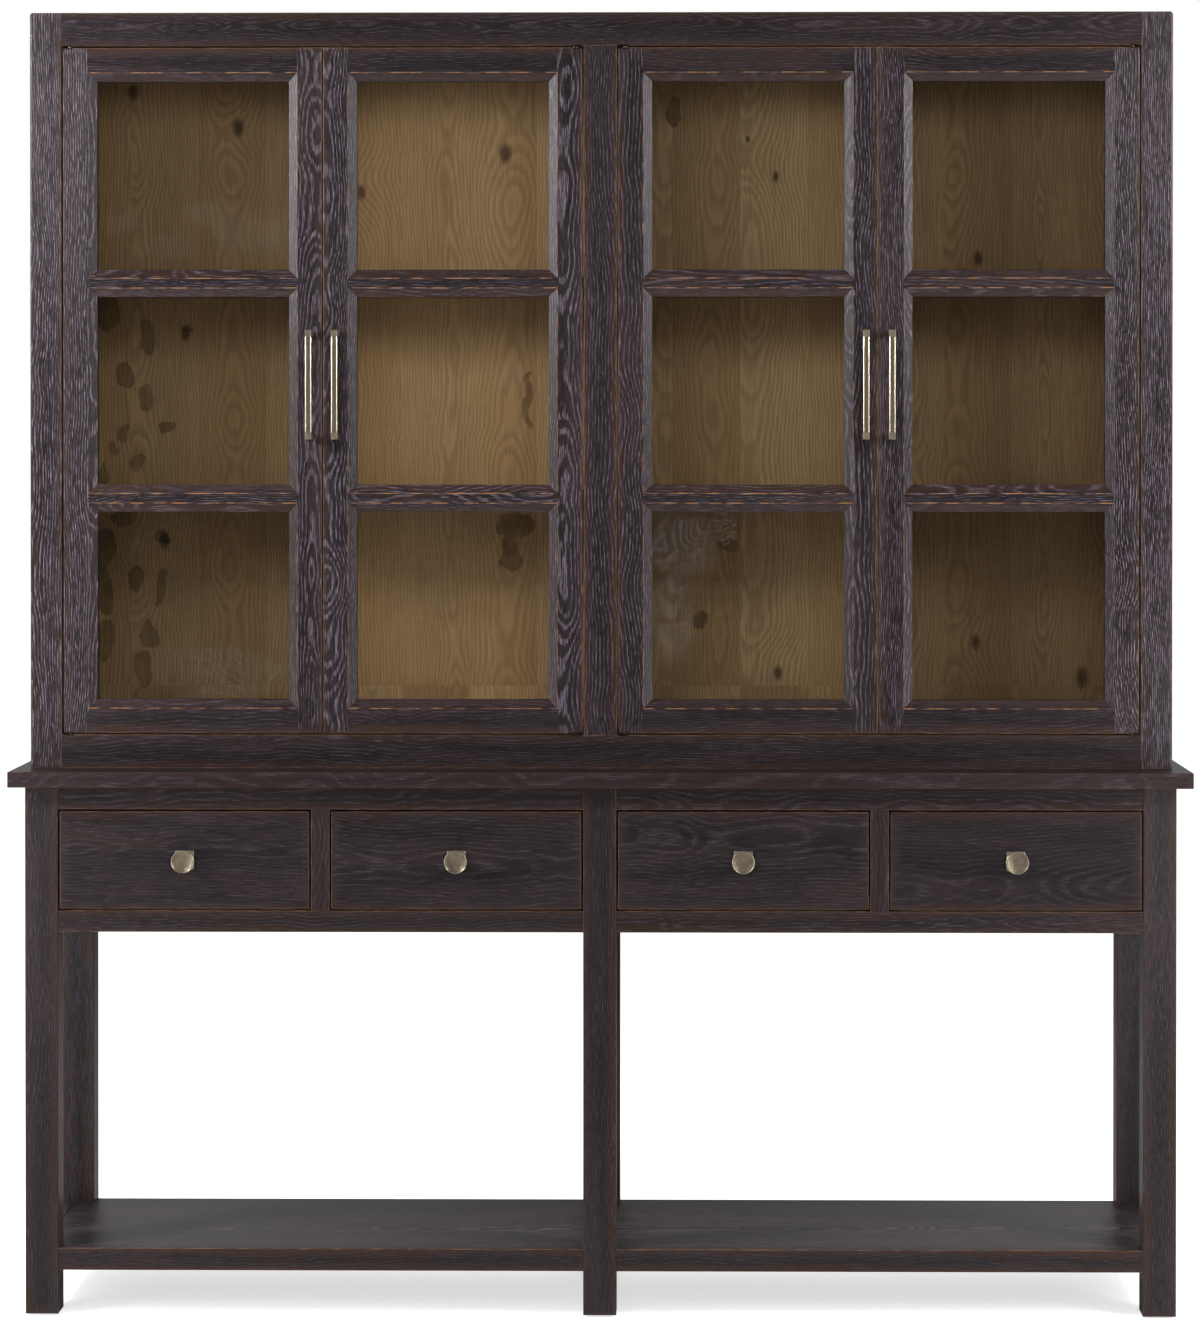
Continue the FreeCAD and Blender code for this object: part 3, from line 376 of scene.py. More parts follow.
def wavy_glass(number):
    """Old drawn glass: see-through, darker on doors 1, 3 and 4 as painted shade of the inside, with dark
    islands and pale patches painted as reflections and shade, ripples whose ridges carry a painted glint, and
    faces that mirror in gentle waves.
    """
    material, g = new_material(f"wavy_glass_{number}")
    low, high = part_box(f"door_{number}_glass")
    plane = (low.y + high.y) / 2
    place = g.place()
    warp = g.vector("SUBTRACT", g.noise(place, 24.0, 2.0, 0.5, "Color"), (0.5, 0.5, 0.5))
    bent = g.vector("ADD", place, g.vector("MULTIPLY", warp, (0.035, 0.0, 0.045)))
    painted_dark = g.smooth(patches(g, bent, plane, PAINTED_DARK_PATCHES[number]), 0.30, 0.42)
    ripples = g.smooth(patches(g, bent, plane, RIPPLES[number]), 0.25, 0.45)
    contour = g.math("SINE", g.mul(g.noise(bent, 7.0, 1.0, 0.5), 170.0))
    # White painted along the ripples' ridges as the glint they catch.
    ridge_glint = g.mul(g.mul(g.smooth(contour, -0.2, 0.8), ripples), RIPPLE_GLINT_SHARE)
    painted_pale = g.mul(g.smooth(patches(g, bent, plane, PAINTED_PALE_PATCHES[number]), 0.30, 0.40), PAINTED_PALE_SHARE)
    cloud = g.noise(place, 13.0, 2.0, 0.6)
    # Painted dark patches stop part of the light that comes through.
    stopped = g.mul(painted_dark, g.mul(PAINTED_DARK_DEPTH, g.smooth(cloud, 0.3, 0.7, 0.5, 1.0)))
    # The door's see-through share, lowered for painted shade and painted dark patches.
    clear = g.mul(SHADED_CLEARNESS[number], g.sub(1.0, stopped))
    tint = g.node("CombineColor", {0: clear, 1: g.mul(clear, 0.99), 2: g.mul(clear, 0.96)}).outputs[0]
    through = g.node("BsdfTransparent", {"Color": tint})
    # A white matt layer that carries the painted glints and pale reflections.
    painted_white = g.node("BsdfDiffuse", {"Color": srgb(226, 226, 230)})
    body = g.node("MixShader", {0: g.add(ridge_glint, painted_pale), 1: through.outputs[0], 2: painted_white.outputs[0]})
    normal = g.bump(g.noise(place, 26.0, 2.0, 0.5), 0.0012, 0.5)
    mirror = g.node("BsdfGlossy", {"Roughness": 0.04, "Normal": normal})
    share = g.node("Fresnel", {"IOR": 1.30, "Normal": normal}).outputs[0]
    g.surface(g.node("MixShader", {0: share, 1: body.outputs[0], 2: mirror.outputs[0]}).outputs[0])
    return material


def champagne_metal():
    """Aged champagne brass: mottled and matt, dark where it is tarnished, and smooth and paler where it is
    polished, which on the knobs' rims and plates is partly a painted highlight.
    """
    material, g = new_material("champagne_metal")
    place = g.place()
    polish_and_highlight = g.attribute("polish_and_highlight", "Fac")
    mottle = g.noise(place, 300.0, 3.0, 0.6)
    cloud = g.noise(place, 70.0, 2.0, 0.5)
    metal = g.mix(g.smooth(cloud, 0.3, 0.7), srgb(146, 134, 114), srgb(120, 110, 96))
    metal = g.mix(g.mul(g.smooth(mottle, 0.58, 0.75, 0.0, 0.5), g.sub(1.0, polish_and_highlight)), metal, srgb(104, 94, 68))
    metal = g.mix(g.mul(g.attribute("tarnish", "Fac"), 0.6), metal, srgb(58, 50, 38))
    # Paler where polished; on the knobs' rims and plates this is partly a painted highlight.
    metal = g.mix(polish_and_highlight, metal, srgb(196, 183, 160))
    matt = g.smooth(mottle, 0.3, 0.7, 0.34, 0.48)
    dull = g.sub(1.0, polish_and_highlight)
    shader = g.node("BsdfPrincipled", {
        "Base Color": metal,
        "Metallic": g.add(0.78, g.mul(polish_and_highlight, 0.17)),
        "Roughness": g.add(g.mul(matt, dull), g.mul(polish_and_highlight, 0.24)),
        "Normal": g.bump(g.mul(mottle, dull), 0.00015, 0.35),
    })
    g.surface(shader.outputs[0])
    return material


def dark_bronze():
    """Blackened bronze with bright rubbed specks."""
    material, g = new_material("dark_bronze")
    speck = g.noise(g.place(), 620.0, 3.0, 0.65)
    metal = g.mix(g.smooth(speck, 0.60, 0.68), srgb(62, 52, 46), srgb(176, 160, 138))
    shader = g.node("BsdfPrincipled", {
        "Base Color": metal,
        "Metallic": 1.0,
        "Roughness": g.smooth(speck, 0.3, 0.7, 0.5, 0.34),
        "Normal": g.bump(speck, 0.0002, 0.4),
    })
    g.surface(shader.outputs[0])
    return material


def glide_plastic():
    """Dark moulded plastic with a fine stipple."""
    material, g = new_material("glide_plastic")
    stipple = g.noise(g.place(), 1400.0, 2.0, 0.5)
    shader = g.node("BsdfPrincipled", {
        "Base Color": g.mix(stipple, srgb(26, 24, 24), srgb(44, 41, 40)),
        "Roughness": g.smooth(stipple, 0.3, 0.7, 0.55, 0.7),
        "Normal": g.bump(stipple, 0.0001, 0.5),
    })
    g.surface(shader.outputs[0])
    return material


# ------------------------------------------------------------------ meshes from the frame
def closed_solids(node):
    """The solids of a CAD node as (points, faces), in turn: each ends where its surface closes."""
    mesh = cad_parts[node].data
    places = np.zeros(len(mesh.vertices) * 3, np.float32)
    mesh.vertices.foreach_get("co", places)
    places = places.reshape(-1, 3)
    solids, index, points, faces, open_edges = [], {}, [], [], {}
    for polygon in mesh.polygons:
        corners = []
        for v in polygon.vertices:
            key = places[v].tobytes()
            if key not in index:
                index[key] = len(points)
                points.append(Vector(places[v].tolist()))
            corners.append(index[key])
        faces.append(corners)
        for edge in zip(corners, corners[1:] + corners[:1]):
            twin = (edge[1], edge[0])
            if open_edges.get(twin):
                open_edges[twin] -= 1
                if not open_edges[twin]:
                    del open_edges[twin]
            else:
                open_edges[edge] = open_edges.get(edge, 0) + 1
        if not open_edges:
            solids.append((points, faces))
            index, points, faces = {}, [], []
    if faces:
        solids.append((points, faces))
    return solids


def solid_bmesh(points, faces):
    """A solid as a bmesh with its flat faces whole."""
    bm = bmesh.new()
    verts = [bm.verts.new(p) for p in points]
    for corners in faces:
        if len(set(corners)) == len(corners) and bm.faces.get([verts[c] for c in corners]) is None:
            bm.faces.new([verts[c] for c in corners])
    bmesh.ops.dissolve_limit(bm, angle_limit=math.radians(0.3), verts=bm.verts, edges=bm.edges)
    bm.normal_update()
    return bm


def cut_staves(bm, axis, width):
    """The solid cut into glued staves of that width, counted from the middle plane, along one axis."""
    low = min(v.co[axis] for v in bm.verts)
    high = max(v.co[axis] for v in bm.verts)
    normal = Vector((0, 0, 0))
    normal[axis] = 1
    lines = [width * k for k in range(math.ceil(low / width), math.floor(high / width) + 1)]
    lines = [x for x in lines if low + 0.004 < x < high - 0.004]
    staves = []
    for start, end in zip([None] + lines, lines + [None]):
        piece = bm.copy()
        for place, sign in ((start, -1), (end, 1)):
            if place is None:
                continue
            geometry = piece.verts[:] + piece.edges[:] + piece.faces[:]
            bmesh.ops.bisect_plane(piece, geom=geometry, dist=1e-7, plane_co=normal * place,
                                   plane_no=normal * sign, clear_outer=True)
            rim = [e for e in piece.edges if e.is_boundary]
            bmesh.ops.holes_fill(piece, edges=rim, sides=0)
        piece.normal_update()
        staves.append(piece)
    bm.free()
    return staves


def board_frame(bm, along):
    """A board's middle, its half sizes and its axes in the order along, across, through."""
    low = Vector([min(v.co[i] for v in bm.verts) for i in range(3)])
    high = Vector([max(v.co[i] for v in bm.verts) for i in range(3)])
    size = high - low
    order = sorted(range(3), key=lambda i: -size[i])
    if along is not None:
        order.remove(along)
        order.insert(0, along)
    return (low + high) / 2, size / 2, order


def arris_edges(bm, middle, half, order, free_ends):
    """The edges of a board that a maker eases: its long arrises, the sticking's, and free ends'."""
    tolerance = 2e-5
    along, across, through = order

    def at_limit(vert, axis):
        return abs(abs(vert.co[axis] - middle[axis]) - half[axis]) < tolerance

    picked = []
    for e in bm.edges:
        if len(e.link_faces) != 2 or not e.is_convex:
            continue
        angle = e.calc_face_angle()
        limits = [i for i in range(3) if all(at_limit(v, i) for v in e.verts)]
        run = e.verts[1].co - e.verts[0].co
        if abs(run[along]) > 0.98 * run.length:
            if across in limits and through in limits and angle > math.radians(60):
                picked.append(e)
            elif through in limits and math.radians(25) < angle < math.radians(50):
                picked.append(e)
        elif free_ends and along in limits and len(limits) >= 2 and angle > math.radians(60):
            picked.append(e)
    return picked


def ease(bm, edges, width):
    """Rounds the edges over, and marks the new faces in the layer named arris."""
    arris = bm.faces.layers.float.get("arris") or bm.faces.layers.float.new("arris")
    if edges and width:
        made = bmesh.ops.bevel(bm, geom=edges, offset=width, offset_type="OFFSET", segments=2,
                               profile=0.5, affect="EDGES", clamp_overlap=True)
        for face in made["faces"]:
            face[arris] = 1.0


HOUSED = 1.0                   # pushes a housed end's arris out of reach of wear


def mark_board(bm, middle, half, order, seed, tone, free_ends):
    """Writes each vertex's place in its board, and what makes this board unlike the next."""
    layers = {name: bm.verts.layers.float_vector.new(name) for name in ("grain", "half", "seed", "tone")}
    limits = Vector([half[i] for i in order])
    if not free_ends:
        limits.x += HOUSED
    for v in bm.verts:
        offset = v.co - middle
        v[layers["grain"]] = Vector([offset[i] for i in order])
        v[layers["half"]] = limits
        v[layers["seed"]] = seed
        v[layers["tone"]] = tone


def dress(node, body, materials, tone=(0.5, 0.6, 1.0), width=1.0 * MM, free_ends=False, along=None,
          stave=None, inside=None):
    """Builds the finished boards of one CAD node, and lets them stand for it.

    tone is how strong the pale pores and their painted sheen are, how much the arrises are rubbed and painted
    with their highlight, and the ring width.
    It may also be a function that gives the three from a board's middle.
    stave is (axis, width) for boards glued up from staves.
    inside picks the faces that take the second material, from a face's middle and normal.
    """
    whole = bmesh.new()
    chance = random.Random(node)
    for points, faces in closed_solids(node):
        bm = solid_bmesh(points, faces)
        for piece in cut_staves(bm, *stave) if stave else [bm]:
            middle, half, order = board_frame(piece, along)
            if not stave:
                ease(piece, arris_edges(piece, middle, half, order, free_ends), width)
            seed = Vector((chance.random(), chance.random(), chance.random()))
            streak, glow, ring = tone(middle) if callable(tone) else tone
            vary = Vector((streak * chance.uniform(0.85, 1.15), glow, ring * chance.uniform(0.85, 1.2)))
            mark_board(piece, middle, half, order, seed, vary, free_ends)
            mesh = bpy.data.meshes.new("board")
            piece.to_mesh(mesh)
            piece.free()
            whole.from_mesh(mesh)
            bpy.data.meshes.remove(mesh)
    whole.normal_update()
    if inside:
        for face in whole.faces:
            face.material_index = int(inside(face.calc_center_median(), face.normal))
    mesh = bpy.data.meshes.new(node + ".boards")
    whole.to_mesh(mesh)
    whole.free()
    for material in materials:
        mesh.materials.append(material)
    return place_piece(mesh, node + ".boards", body, node)


def place_piece(mesh, name, body, node):
    """An object for the mesh that rides on the body and stands for the CAD node."""
    piece = bpy.data.objects.new(name, mesh)
    bpy.context.scene.collection.objects.link(piece)
    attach(piece, body)
    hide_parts(node)
    return piece


def mesh_from(points, faces, name, material):
    mesh = bpy.data.meshes.new(name)
    mesh.from_pydata([tuple(p) for p in points], [], faces)
    mesh.validate()
    mesh.materials.append(material)
    mesh.shade_smooth()
    return mesh


def keep_node(node, material):
    """The CAD node as it is, with this material."""
    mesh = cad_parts[node].data
    mesh.materials.clear()
    mesh.materials.append(material)


# ------------------------------------------------------------------ panes
PANE_CELLS = 36
PANE_WAVE = 0.35 * MM


def glass_panes(node, body, material):
    """Each pane as a thin sheet with gently rolling faces."""
    points, faces = [], []
    for corners, _ in closed_solids(node):
        low = Vector([min(p[i] for p in corners) for i in range(3)])
        high = Vector([max(p[i] for p in corners) for i in range(3)])
        count = PANE_CELLS + 1
        for side, y in ((0, low.y), (1, high.y)):
            start = len(points)
            for j in range(count):
                for i in range(count):
                    x = low.x + (high.x - low.x) * i / PANE_CELLS
                    z = low.z + (high.z - low.z) * j / PANE_CELLS
                    roll = 0.5 + 0.5 * noise.noise(Vector((x * 9 + side * 7, side * 3.1, z * 14)))
                    inward = PANE_WAVE * roll if 0 < i < PANE_CELLS and 0 < j < PANE_CELLS else 0
                    points.append((x, y + inward if side == 0 else y - inward, z))
            for j in range(PANE_CELLS):
                for i in range(PANE_CELLS):
                    a = start + j * count + i
                    quad = (a, a + 1, a + count + 1, a + count)
                    faces.append(quad if side == 0 else quad[::-1])
        front = len(points) - 2 * count * count
        rim = list(range(count))
        rim += [j * count + PANE_CELLS for j in range(1, count)]
        rim += [PANE_CELLS * count + i for i in range(PANE_CELLS - 1, -1, -1)]
        rim += [j * count for j in range(PANE_CELLS - 1, 0, -1)]
        for a, b in zip(rim, rim[1:] + rim[:1]):
            faces.append((front + b, front + a, front + count * count + a, front + count * count + b))
    mesh = mesh_from(points, faces, node + ".panes", material)
    mesh.set_sharp_from_angle(angle=math.radians(40))
    return place_piece(mesh, node + ".panes", body, node)


# ------------------------------------------------------------------ pulls and knobs
def sweep(sections):
    """Points and faces of a closed skin through rings of points, all with the same count."""
    points = [p for ring in sections for p in ring]
    count = len(sections[0])
    faces = []
    for k in range(len(sections) - 1):
        for i in range(count):
            j = (i + 1) % count
            faces.append((k * count + i, k * count + j, (k + 1) * count + j, (k + 1) * count + i))
    faces.append(tuple(range(count - 1, -1, -1)))
    faces.append(tuple(len(points) - count + i for i in range(count)))
    return points, faces


def merged(parts):
    """One list of points and one of faces from several."""
    points, faces = [], []
    for some_points, some_faces in parts:
        base = len(points)
        points += some_points
        faces += [tuple(base + i for i in f) for f in some_faces]
    return points, faces


PULL_BLOCK = 10.8 * MM         # square end of the bar
PULL_BLEND = 1.0 * MM          # over which the square end turns into the polished bar
PULL_SIDES = 40
PULL_BAR_DEPTH = 10.0 * MM
SQUARE = 12.0                  # the power in |x|^n + |y|^n = 1 that draws a soft-cornered square
SHOULDER = (22, 27, 32, 37, 42)                # the shoulder's facets, degrees from the flat front
SHOULDER_WIDTH = (0.5 * MM, 1.9 * MM)          # at the square end, and on the bar
SHOULDER_DEPTH = (0.5 * MM, 1.2 * MM)


def oval(half_x, half_y, power):
    """Points around |x|^power + |y|^power = 1, stretched: 2 is an ellipse, and more is squarer."""
    points = []
    for i in range(PULL_SIDES):
        angle = 2 * math.pi * (i + 0.5) / PULL_SIDES
        c, s = math.cos(angle), math.sin(angle)
        reach = (abs(c) ** power + abs(s) ** power) ** (-1 / power)
        points.append((half_x * reach * c, half_y * reach * s))
    return points


def bar_outline(half_x, half_y, share):
    """The bar's section: flat front, curved shoulders and plain sides.

    share is 0 at the bar's ends, and 1 between them.
    """
    width = SHOULDER_WIDTH[0] + (SHOULDER_WIDTH[1] - SHOULDER_WIDTH[0]) * share
    depth = SHOULDER_DEPTH[0] + (SHOULDER_DEPTH[1] - SHOULDER_DEPTH[0]) * share
    turns = [math.radians(t) for t in SHOULDER]
    run = math.sin(turns[-1]) - math.sin(turns[0])
    fall = math.cos(turns[0]) - math.cos(turns[-1])
    shoulder = [(half_x - width + width * (math.sin(t) - math.sin(turns[0])) / run,
                 -half_y + depth * (math.cos(turns[0]) - math.cos(t)) / fall) for t in turns]
    back = 0.4 * MM
    points = [shoulder[-1], (half_x, half_y - back), (half_x - back, half_y)]
    points += [(back - half_x, half_y), (-half_x, half_y - back)]
    points += [(-x, y) for x, y in reversed(shoulder)]
    return points + shoulder[:-1]


def bar_pull(node, body, material):
    """A polished bar with curved shoulders between matt square ends, on two feet."""
    low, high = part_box(node)
    x, y = (low.x + high.x) / 2, low.y + PULL_BAR_DEPTH / 2
    half_x, half_y = (high.x - low.x) / 2, PULL_BAR_DEPTH / 2
    reaches = [0.0, 0.3 * MM, 0.9 * MM, PULL_BLOCK - 0.4 * MM]
    reaches += [PULL_BLOCK + PULL_BLEND * k / 3 for k in range(4)]
    reaches += [0.025 + 0.01 * k for k in range(7)]
    heights = [low.z + r for r in reaches] + [high.z - r for r in reversed(reaches)]
    sections = []
    for z in heights:
        reach = min(z - low.z, high.z - z)
        share = min(max((reach - PULL_BLOCK) / PULL_BLEND, 0.0), 1.0)
        shrink = 1 - 0.06 * max(0.0, 1 - reach / (0.9 * MM))
        ring = bar_outline(half_x * shrink, half_y * shrink, share)
        sections.append([(x + px, y + py, z) for px, py in ring])
    parts = [sweep(sections)]
    for foot_low, foot_high in ((low.z, low.z + PULL_BLOCK), (high.z - PULL_BLOCK, high.z)):
        middle, half_z = (foot_low + foot_high) / 2, (foot_high - foot_low) / 2
        rings = []
        for depth in (y + half_y * 0.5, y + half_y, high.y - 1.2 * MM, high.y):
            ring = [(x + px, depth, middle + pz) for px, pz in oval(half_x * 0.98, half_z * 0.98, SQUARE)]
            rings.append(ring[::-1])
        parts.append(sweep(rings))
    mesh = mesh_from(*merged(parts), node + ".bar", material)
    mesh.set_sharp_from_angle(angle=math.radians(15))
    polish_and_highlight = mesh.attributes.new("polish_and_highlight", "FLOAT", "POINT")
    for vertex, value in zip(mesh.vertices, polish_and_highlight.data):
        reach = min(vertex.co.z - low.z, high.z - vertex.co.z)
        value.value = min(max((reach - PULL_BLOCK) / PULL_BLEND, 0.0), 1.0)
    return place_piece(mesh, node + ".bar", body, node)


KNOB_RADIUS = 19.5 * MM
KNOB_DISH = 3.0 * MM
KNOB_LIP = 0.9 * MM
KNOB_RIM = 3.0 * MM
KNOB_RINGS = 7                 # turned rings across the dish
KNOB_RIDGE = 0.34 * MM         # how deep they are
KNOB_DENT = 0.40 * MM
KNOB_FLARE = 8.5 * MM
KNOB_NECK = 7.0 * MM
KNOB_FOOT = 10.5 * MM
KNOB_PLATE = 32.5 * MM
KNOB_PLATE_THICKNESS = 2.5 * MM
KNOB_TURN = 72
KNOB_PROJECTION = 30.0 * MM


def knob_profile():
    """(radius, height above the drawer front) from the plate, over the rim, to the dish's middle."""
    profile = [(KNOB_FOOT, KNOB_PLATE_THICKNESS - 0.2 * MM), (KNOB_FOOT, KNOB_PLATE_THICKNESS + 2.5 * MM)]
    neck_low = KNOB_PLATE_THICKNESS + 6.0 * MM
    profile += [(KNOB_NECK + 1.0 * MM, neck_low - 1.0 * MM), (KNOB_NECK, neck_low)]
    rim_back = KNOB_PROJECTION - KNOB_RIM
    neck_top = rim_back - KNOB_FLARE
    for k in range(9):
        turn = math.pi / 2 * k / 8
        profile.append((KNOB_RADIUS - (KNOB_RADIUS - KNOB_NECK) * math.cos(turn),
                        neck_top + KNOB_FLARE * math.sin(turn)))
    soft = 0.4 * MM
    lip = KNOB_RADIUS - KNOB_LIP
    profile += [(KNOB_RADIUS, rim_back + soft), (KNOB_RADIUS, KNOB_PROJECTION - soft)]
    profile += [(KNOB_RADIUS - soft, KNOB_PROJECTION), (lip, KNOB_PROJECTION)]
    for k in range(1, 44):
        share = 1 - k / 44
        ridge_glint = KNOB_RIDGE * math.sin(share * math.pi * KNOB_RINGS) ** 2
        profile.append((lip * share, KNOB_PROJECTION - KNOB_DISH * (1 - share ** 4) - ridge_glint))
    return profile


def knob(node, body, material):
    """A dished knob with turned rings and hammer dents, on a square plate with clipped corners."""
    low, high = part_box(node)
    face = low.y + KNOB_PROJECTION
    x, z = (low.x + high.x) / 2, (low.z + high.z) / 2
    sections = []
    for radius, height in knob_profile():
        ring = []
        for i in range(KNOB_TURN):
            angle = 2 * math.pi * i / KNOB_TURN
            c, s = math.cos(angle), math.sin(angle)
            dent = 0.0
            if radius < KNOB_RADIUS - KNOB_LIP and height > KNOB_PROJECTION - 2 * KNOB_DISH:
                spot = noise.noise(Vector((radius * c * 260 + x * 90, radius * s * 260, 1.7)))
                dent = KNOB_DENT * max(0.0, spot)
            ring.append((x + radius * c, face - height + dent, z + radius * s))
        sections.append(ring)
    parts = [sweep(sections)]
    half, clip = KNOB_PLATE / 2, 1.8 * MM
    outline = [(-half + clip, -half), (half - clip, -half), (half, -half + clip), (half, half - clip),
               (half - clip, half), (-half + clip, half), (-half, half - clip), (-half, -half + clip)]
    rings = []
    steps = ((0.0, 0.0), (0.0, 1.6 * MM), (0.5 * MM, 2.3 * MM), (1.4 * MM, KNOB_PLATE_THICKNESS))
    for inset, height in steps:
        share = (half - inset) / half
        rings.append([(x + px * share, face - height, z + pz * share) for px, pz in outline])
    parts.append(sweep(rings))
    mesh = mesh_from(*merged(parts), node + ".turned", material)
    mesh.set_sharp_from_angle(angle=math.radians(35))
    polish_and_highlight = mesh.attributes.new("polish_and_highlight", "FLOAT", "POINT")
    tarnish = mesh.attributes.new("tarnish", "FLOAT", "POINT")
    for vertex, bright, dim in zip(mesh.vertices, polish_and_highlight.data, tarnish.data):
        radius = math.hypot(vertex.co.x - x, vertex.co.z - z)
        height = face - vertex.co.y
        share = radius / (KNOB_RADIUS - KNOB_LIP)
        # The rim and the plate are painted paler and glossier as polished brass, partly as a painted
        # highlight on their edges.
        if height > KNOB_PROJECTION - 0.5 * KNOB_RIM and share > 0.99:
            bright.value = 0.75
        elif height > KNOB_PROJECTION - 2 * KNOB_DISH and share < 0.99:
            dim.value = 0.15 + 0.85 * math.sin(share * math.pi * KNOB_RINGS) ** 2
        elif height < KNOB_PLATE_THICKNESS - 0.1 * MM:
            bright.value = 0.45
    return place_piece(mesh, node + ".turned", body, node)


# ------------------------------------------------------------------ stage and light
def area_light(name, place, target, size, power, spread, mirrored):
    data = bpy.data.lights.new(name, "AREA")
    data.shape = "RECTANGLE"
    data.size, data.size_y = size
    data.energy = power
    data.spread = math.radians(spread)
    lamp = bpy.data.objects.new(name, data)
    lamp.location = place
    lamp.rotation_euler = (Vector(target) - Vector(place)).to_track_quat("-Z", "Y").to_euler()
    lamp.visible_camera = False
    lamp.visible_glossy = mirrored
    bpy.context.scene.collection.objects.link(lamp)
    return lamp


# Soft boxes: name, place, what it faces, width and height, watts, spread in degrees, and
# whether gloss mirrors it.
LAMPS = (
    ("side_left", (-2.3, -1.2, 2.3), (0, 0, 1.9), (0.4, 0.8), 75.0, 180, True),
    ("side_right", (2.3, -1.2, 2.3), (0, 0, 1.9), (0.4, 0.8), 54.0, 180, True),
    ("low_left", (-1.65, -0.85, 0.75), (-0.2, 0, 0.6), (0.3, 0.8), 9.0, 180, True),
    ("low_right", (1.65, -0.85, 0.75), (0.2, 0, 0.6), (0.3, 0.8), 12.5, 180, True),
    ("near_left", (-0.42, -1.85, 2.15), (-0.15, 0.2, 1.45), (0.5, 0.4), 2.0, 90, False),
    ("near_right", (0.35, -1.9, 2.2), (0.3, 0.2, 1.45), (0.5, 0.4), 1.9, 90, False),
    ("strip_left", (-2.2, -1.3, 1.62), (-0.4, -0.2, 1.6), (0.045, 0.6), 2.0, 180, True),
    ("strip_right", (2.2, -1.3, 1.62), (0.4, -0.2, 1.6), (0.045, 0.6), 2.0, 180, True),
    ("far_left", (-2.0, -3.6, 2.4), (0, 0, 1.6), (0.8, 0.8), 24.0, 180, False),
    ("far_right", (2.0, -3.6, 2.4), (0, 0, 1.6), (0.8, 0.8), 12.0, 180, False),
    ("front", (0, -5.0, 1.5), (0, 0, 1.2), (2.5, 2.0), 38.0, 180, False),
    ("behind", (0.8, 4.2, 2.6), (0, 0.3, 1.3), (2.5, 2.0), 30.0, 110, False),
)
FLOOR_LIFT = 0.66              # what the floor shows beyond its own light, to the camera alone


def make_stage():
    """A white floor that keeps the shadow, a white background, and soft lamps all round."""
    half = 40.0
    mesh = bpy.data.meshes.new("floor")
    corners = [(-half, -half, 0), (half, -half, 0), (half, half, 0), (-half, half, 0)]
    mesh.from_pydata(corners, [], [(0, 1, 2, 3)])
    material, g = new_material("floor")
    grey = g.node("BsdfDiffuse", {"Color": (0.8, 0.8, 0.8, 1.0)})
    across, deep, _ = g.split(g.place())
    away = g.math("MAXIMUM", g.sub(g.math("ABSOLUTE", across), 0.6), deep)
    strength = g.mul(g.node("LightPath").outputs["Is Camera Ray"], g.smooth(away, 0.2, 1.0, FLOOR_LIFT, 1.0))
    lift = g.node("Emission", {"Color": (1, 1, 1, 1), "Strength": strength})
    g.surface(g.node("AddShader", {0: grey.outputs[0], 1: lift.outputs[0]}).outputs[0])
    mesh.materials.append(material)
    floor = bpy.data.objects.new("floor", mesh)
    bpy.context.scene.collection.objects.link(floor)
    make_world()
    for lamp in LAMPS:
        area_light(*lamp)


AMBIENT = 0.12                 # what the room gives to matt surfaces
ROOM_GLOSS = 0.07              # how light the dim room before the dresser looks in its gloss
WALL_GLOSS = (0.05, 0.56)      # and the white wall behind it, dimmest behind the dresser's middle


def make_world():
    """A white wall behind the dresser, and a dim room before it."""
    world = bpy.data.worlds.new("world")
    bpy.context.scene.world = world
    world.use_nodes = True
    g = Graph(world.node_tree)
    path = g.node("LightPath").outputs
    aside, ahead, _ = g.split(g.node("TexCoord").outputs["Generated"])
    wall = g.smooth(g.math("ABSOLUTE", g.add(aside, 0.01)), 0.0, 0.12, *WALL_GLOSS)
    gloss = g.mul(path["Is Glossy Ray"], g.smooth(ahead, -0.3, 0.4, ROOM_GLOSS, wall))
    seen = g.math("MAXIMUM", path["Is Camera Ray"], path["Is Transmission Ray"])
    plain = g.sub(1.0, g.math("MAXIMUM", seen, path["Is Glossy Ray"]))
    strength = g.add(g.add(seen, gloss), g.mul(plain, AMBIENT))
    background = g.node("Background", {"Color": (1, 1, 1, 1), "Strength": strength})
    output = g.tree.nodes.new("ShaderNodeOutputWorld")
    g.tree.links.new(background.outputs[0], output.inputs["Surface"])


# ------------------------------------------------------------------ the dresser
def hutch_side_inside(middle, normal):
    """Whether a face of a hutch side looks into the hutch, behind the face frame."""
    return normal.x * middle.x < -0.5 * abs(middle.x) and middle.y > -0.130


def faces_down(_, normal):
    return normal.z < -0.5


def faces_up(_, normal):
    return normal.z > 0.5


def faces_front(_, normal):
    return normal.y < -0.5


def hutch_stile_tone(middle):
    return (0.30, 0.5, 1.0) if abs(middle.x) < 0.1 else (0.66, 0.4, 1.0)


def door_stile_tone(middle):
    return (0.82, 0.35, 1.0) if abs(middle.x) > 0.8 else (0.46, 0.45, 1.0)


def door_rail_tone(middle):
    return (0.34, 0.9, 1.0) if 1.2 < middle.z < 2.0 else (0.14, 0.8, 1.1)


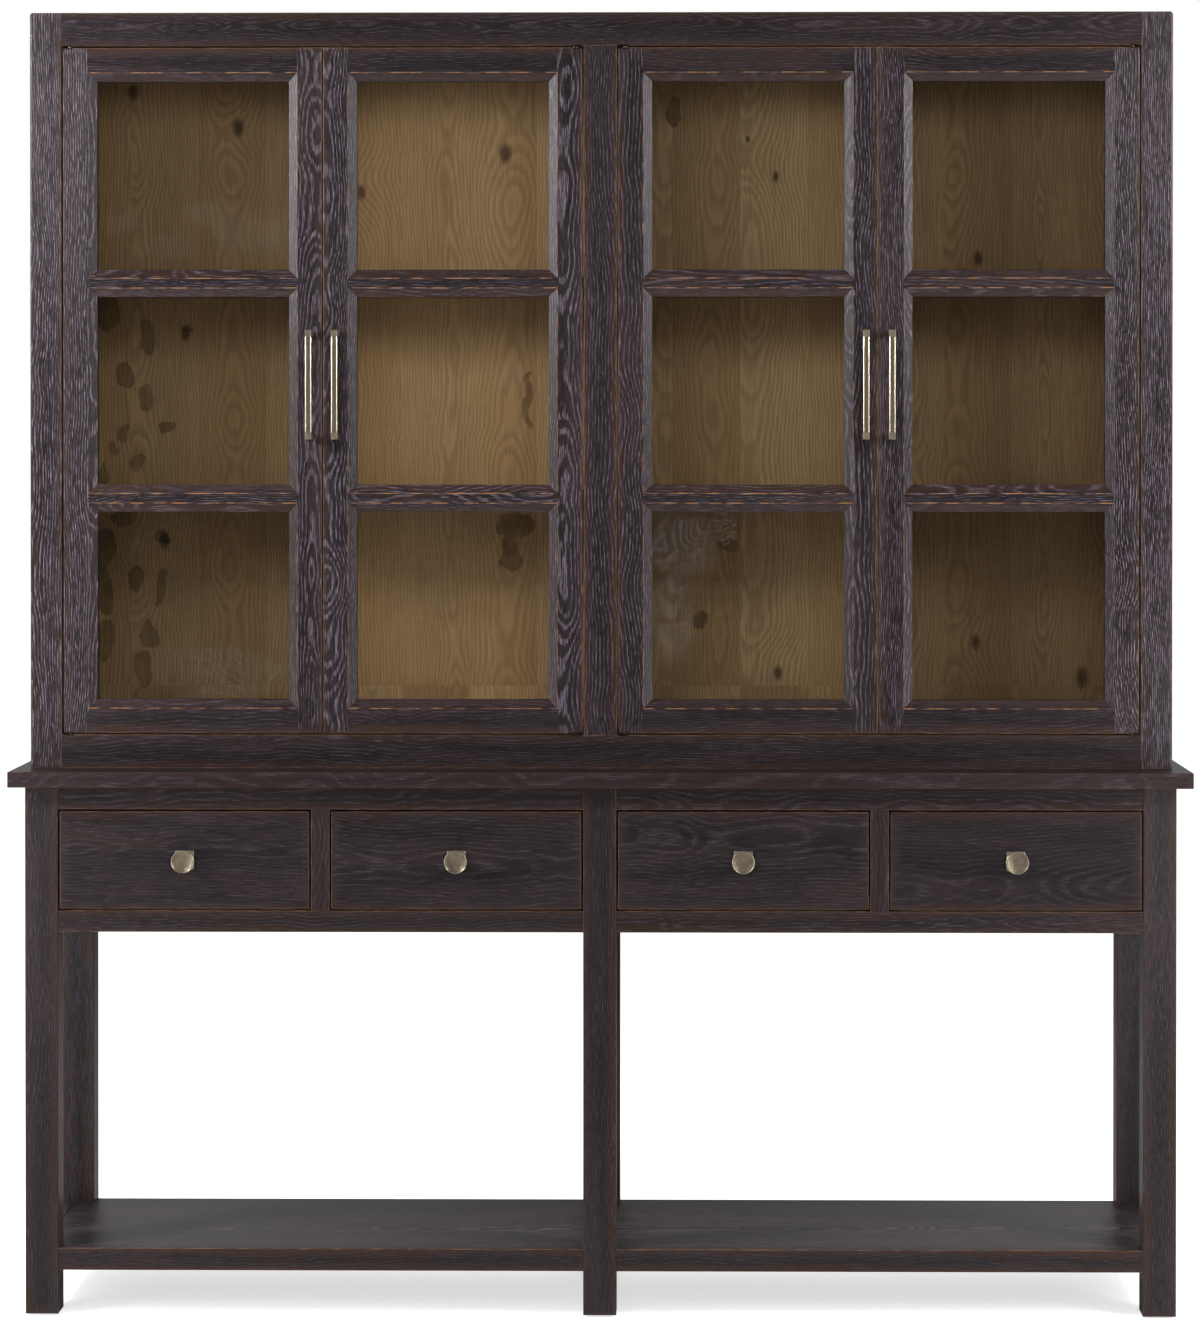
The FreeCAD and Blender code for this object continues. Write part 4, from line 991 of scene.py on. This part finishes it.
def main():
    make_camera()
    make_stage()
    dark = dark_oak("dark_oak", sheen=0.24, matt=0.32)
    unwaxed = dark_oak("unwaxed_oak", sheen=0.04, matt=0.84)
    back_oak, case_oak = natural_oak("back_oak", KNOTS), natural_oak("case_oak", ())
    brass = champagne_metal()
    bronze, plastic = dark_bronze(), glide_plastic()

    dress("counter_top", "carcase", [dark], (0.14, 0.4, 1.1), free_ends=True)
    dress("front_legs", "carcase", [dark], (0.14, 0.6, 0.9), free_ends=True)
    dress("rear_legs", "carcase", [dark], (0.14, 0.8, 0.9), free_ends=True)
    dress("base_front_rails", "carcase", [dark], (0.14, 0.55, 1.1))
    dress("drawer_dividers", "carcase", [dark], (0.12, 0.5, 1.1))
    dress("base_side_panels", "carcase", [dark], (0.30, 0.4, 1.3))
    dress("base_back_panels", "carcase", [unwaxed], (0.25, 0.4, 1.3))
    dress("lower_shelf_rails", "carcase", [dark], (0.12, 0.8, 1.1))
    dress("lower_shelf_boards", "carcase", [dark], (0.40, 0.6, 1.2))
    dress("hutch_face_stiles", "carcase", [dark], hutch_stile_tone, free_ends=True)
    dress("hutch_face_rails", "carcase", [dark], (0.14, 0.5, 1.1))
    dress("hutch_sides", "carcase", [dark, case_oak], (0.5, 0.6, 1.2), inside=hutch_side_inside)
    dress("hutch_top_board", "carcase", [unwaxed, case_oak], (0.4, 0.6, 1.2), inside=faces_down)
    dress("hutch_floor_board", "carcase", [dark, case_oak], (0.4, 0.6, 1.2), inside=faces_up)
    dress("hutch_back_panels", "carcase", [unwaxed, back_oak], (0.3, 0.3, 1.0), along=2, stave=(0, 0.124),
          inside=faces_front)
    for node in ("hutch_partition", "hutch_shelves", "drawer_partitions", "drawer_runners", "hutch_dowels",
                 "door_catches"):
        dress(node, "carcase", [case_oak])
    for node in ("hinge_frame_plates", "shelf_pins"):
        keep_node(node, bronze)
    keep_node("leg_glides", plastic)
    for n in range(1, 5):
        drawer, door = f"drawer_{n}", f"door_{n}"
        dress(f"{drawer}_front", drawer, [dark], (0.10, 0.46, 1.3), free_ends=True)
        dress(f"{drawer}_box", drawer, [case_oak])
        knob(f"{drawer}_knob", drawer, brass)
        dress(f"{door}_stiles", door, [dark], door_stile_tone, free_ends=True)
        dress(f"{door}_rails", door, [dark], door_rail_tone)
        dress(f"{door}_beads", door, [dark], (0.2, 0.3, 1.0), width=0.4 * MM)
        glass_panes(f"{door}_glass", door, wavy_glass(n))
        bar_pull(f"{door}_pull", door, brass)
        keep_node(f"{door}_fittings", bronze)


main()
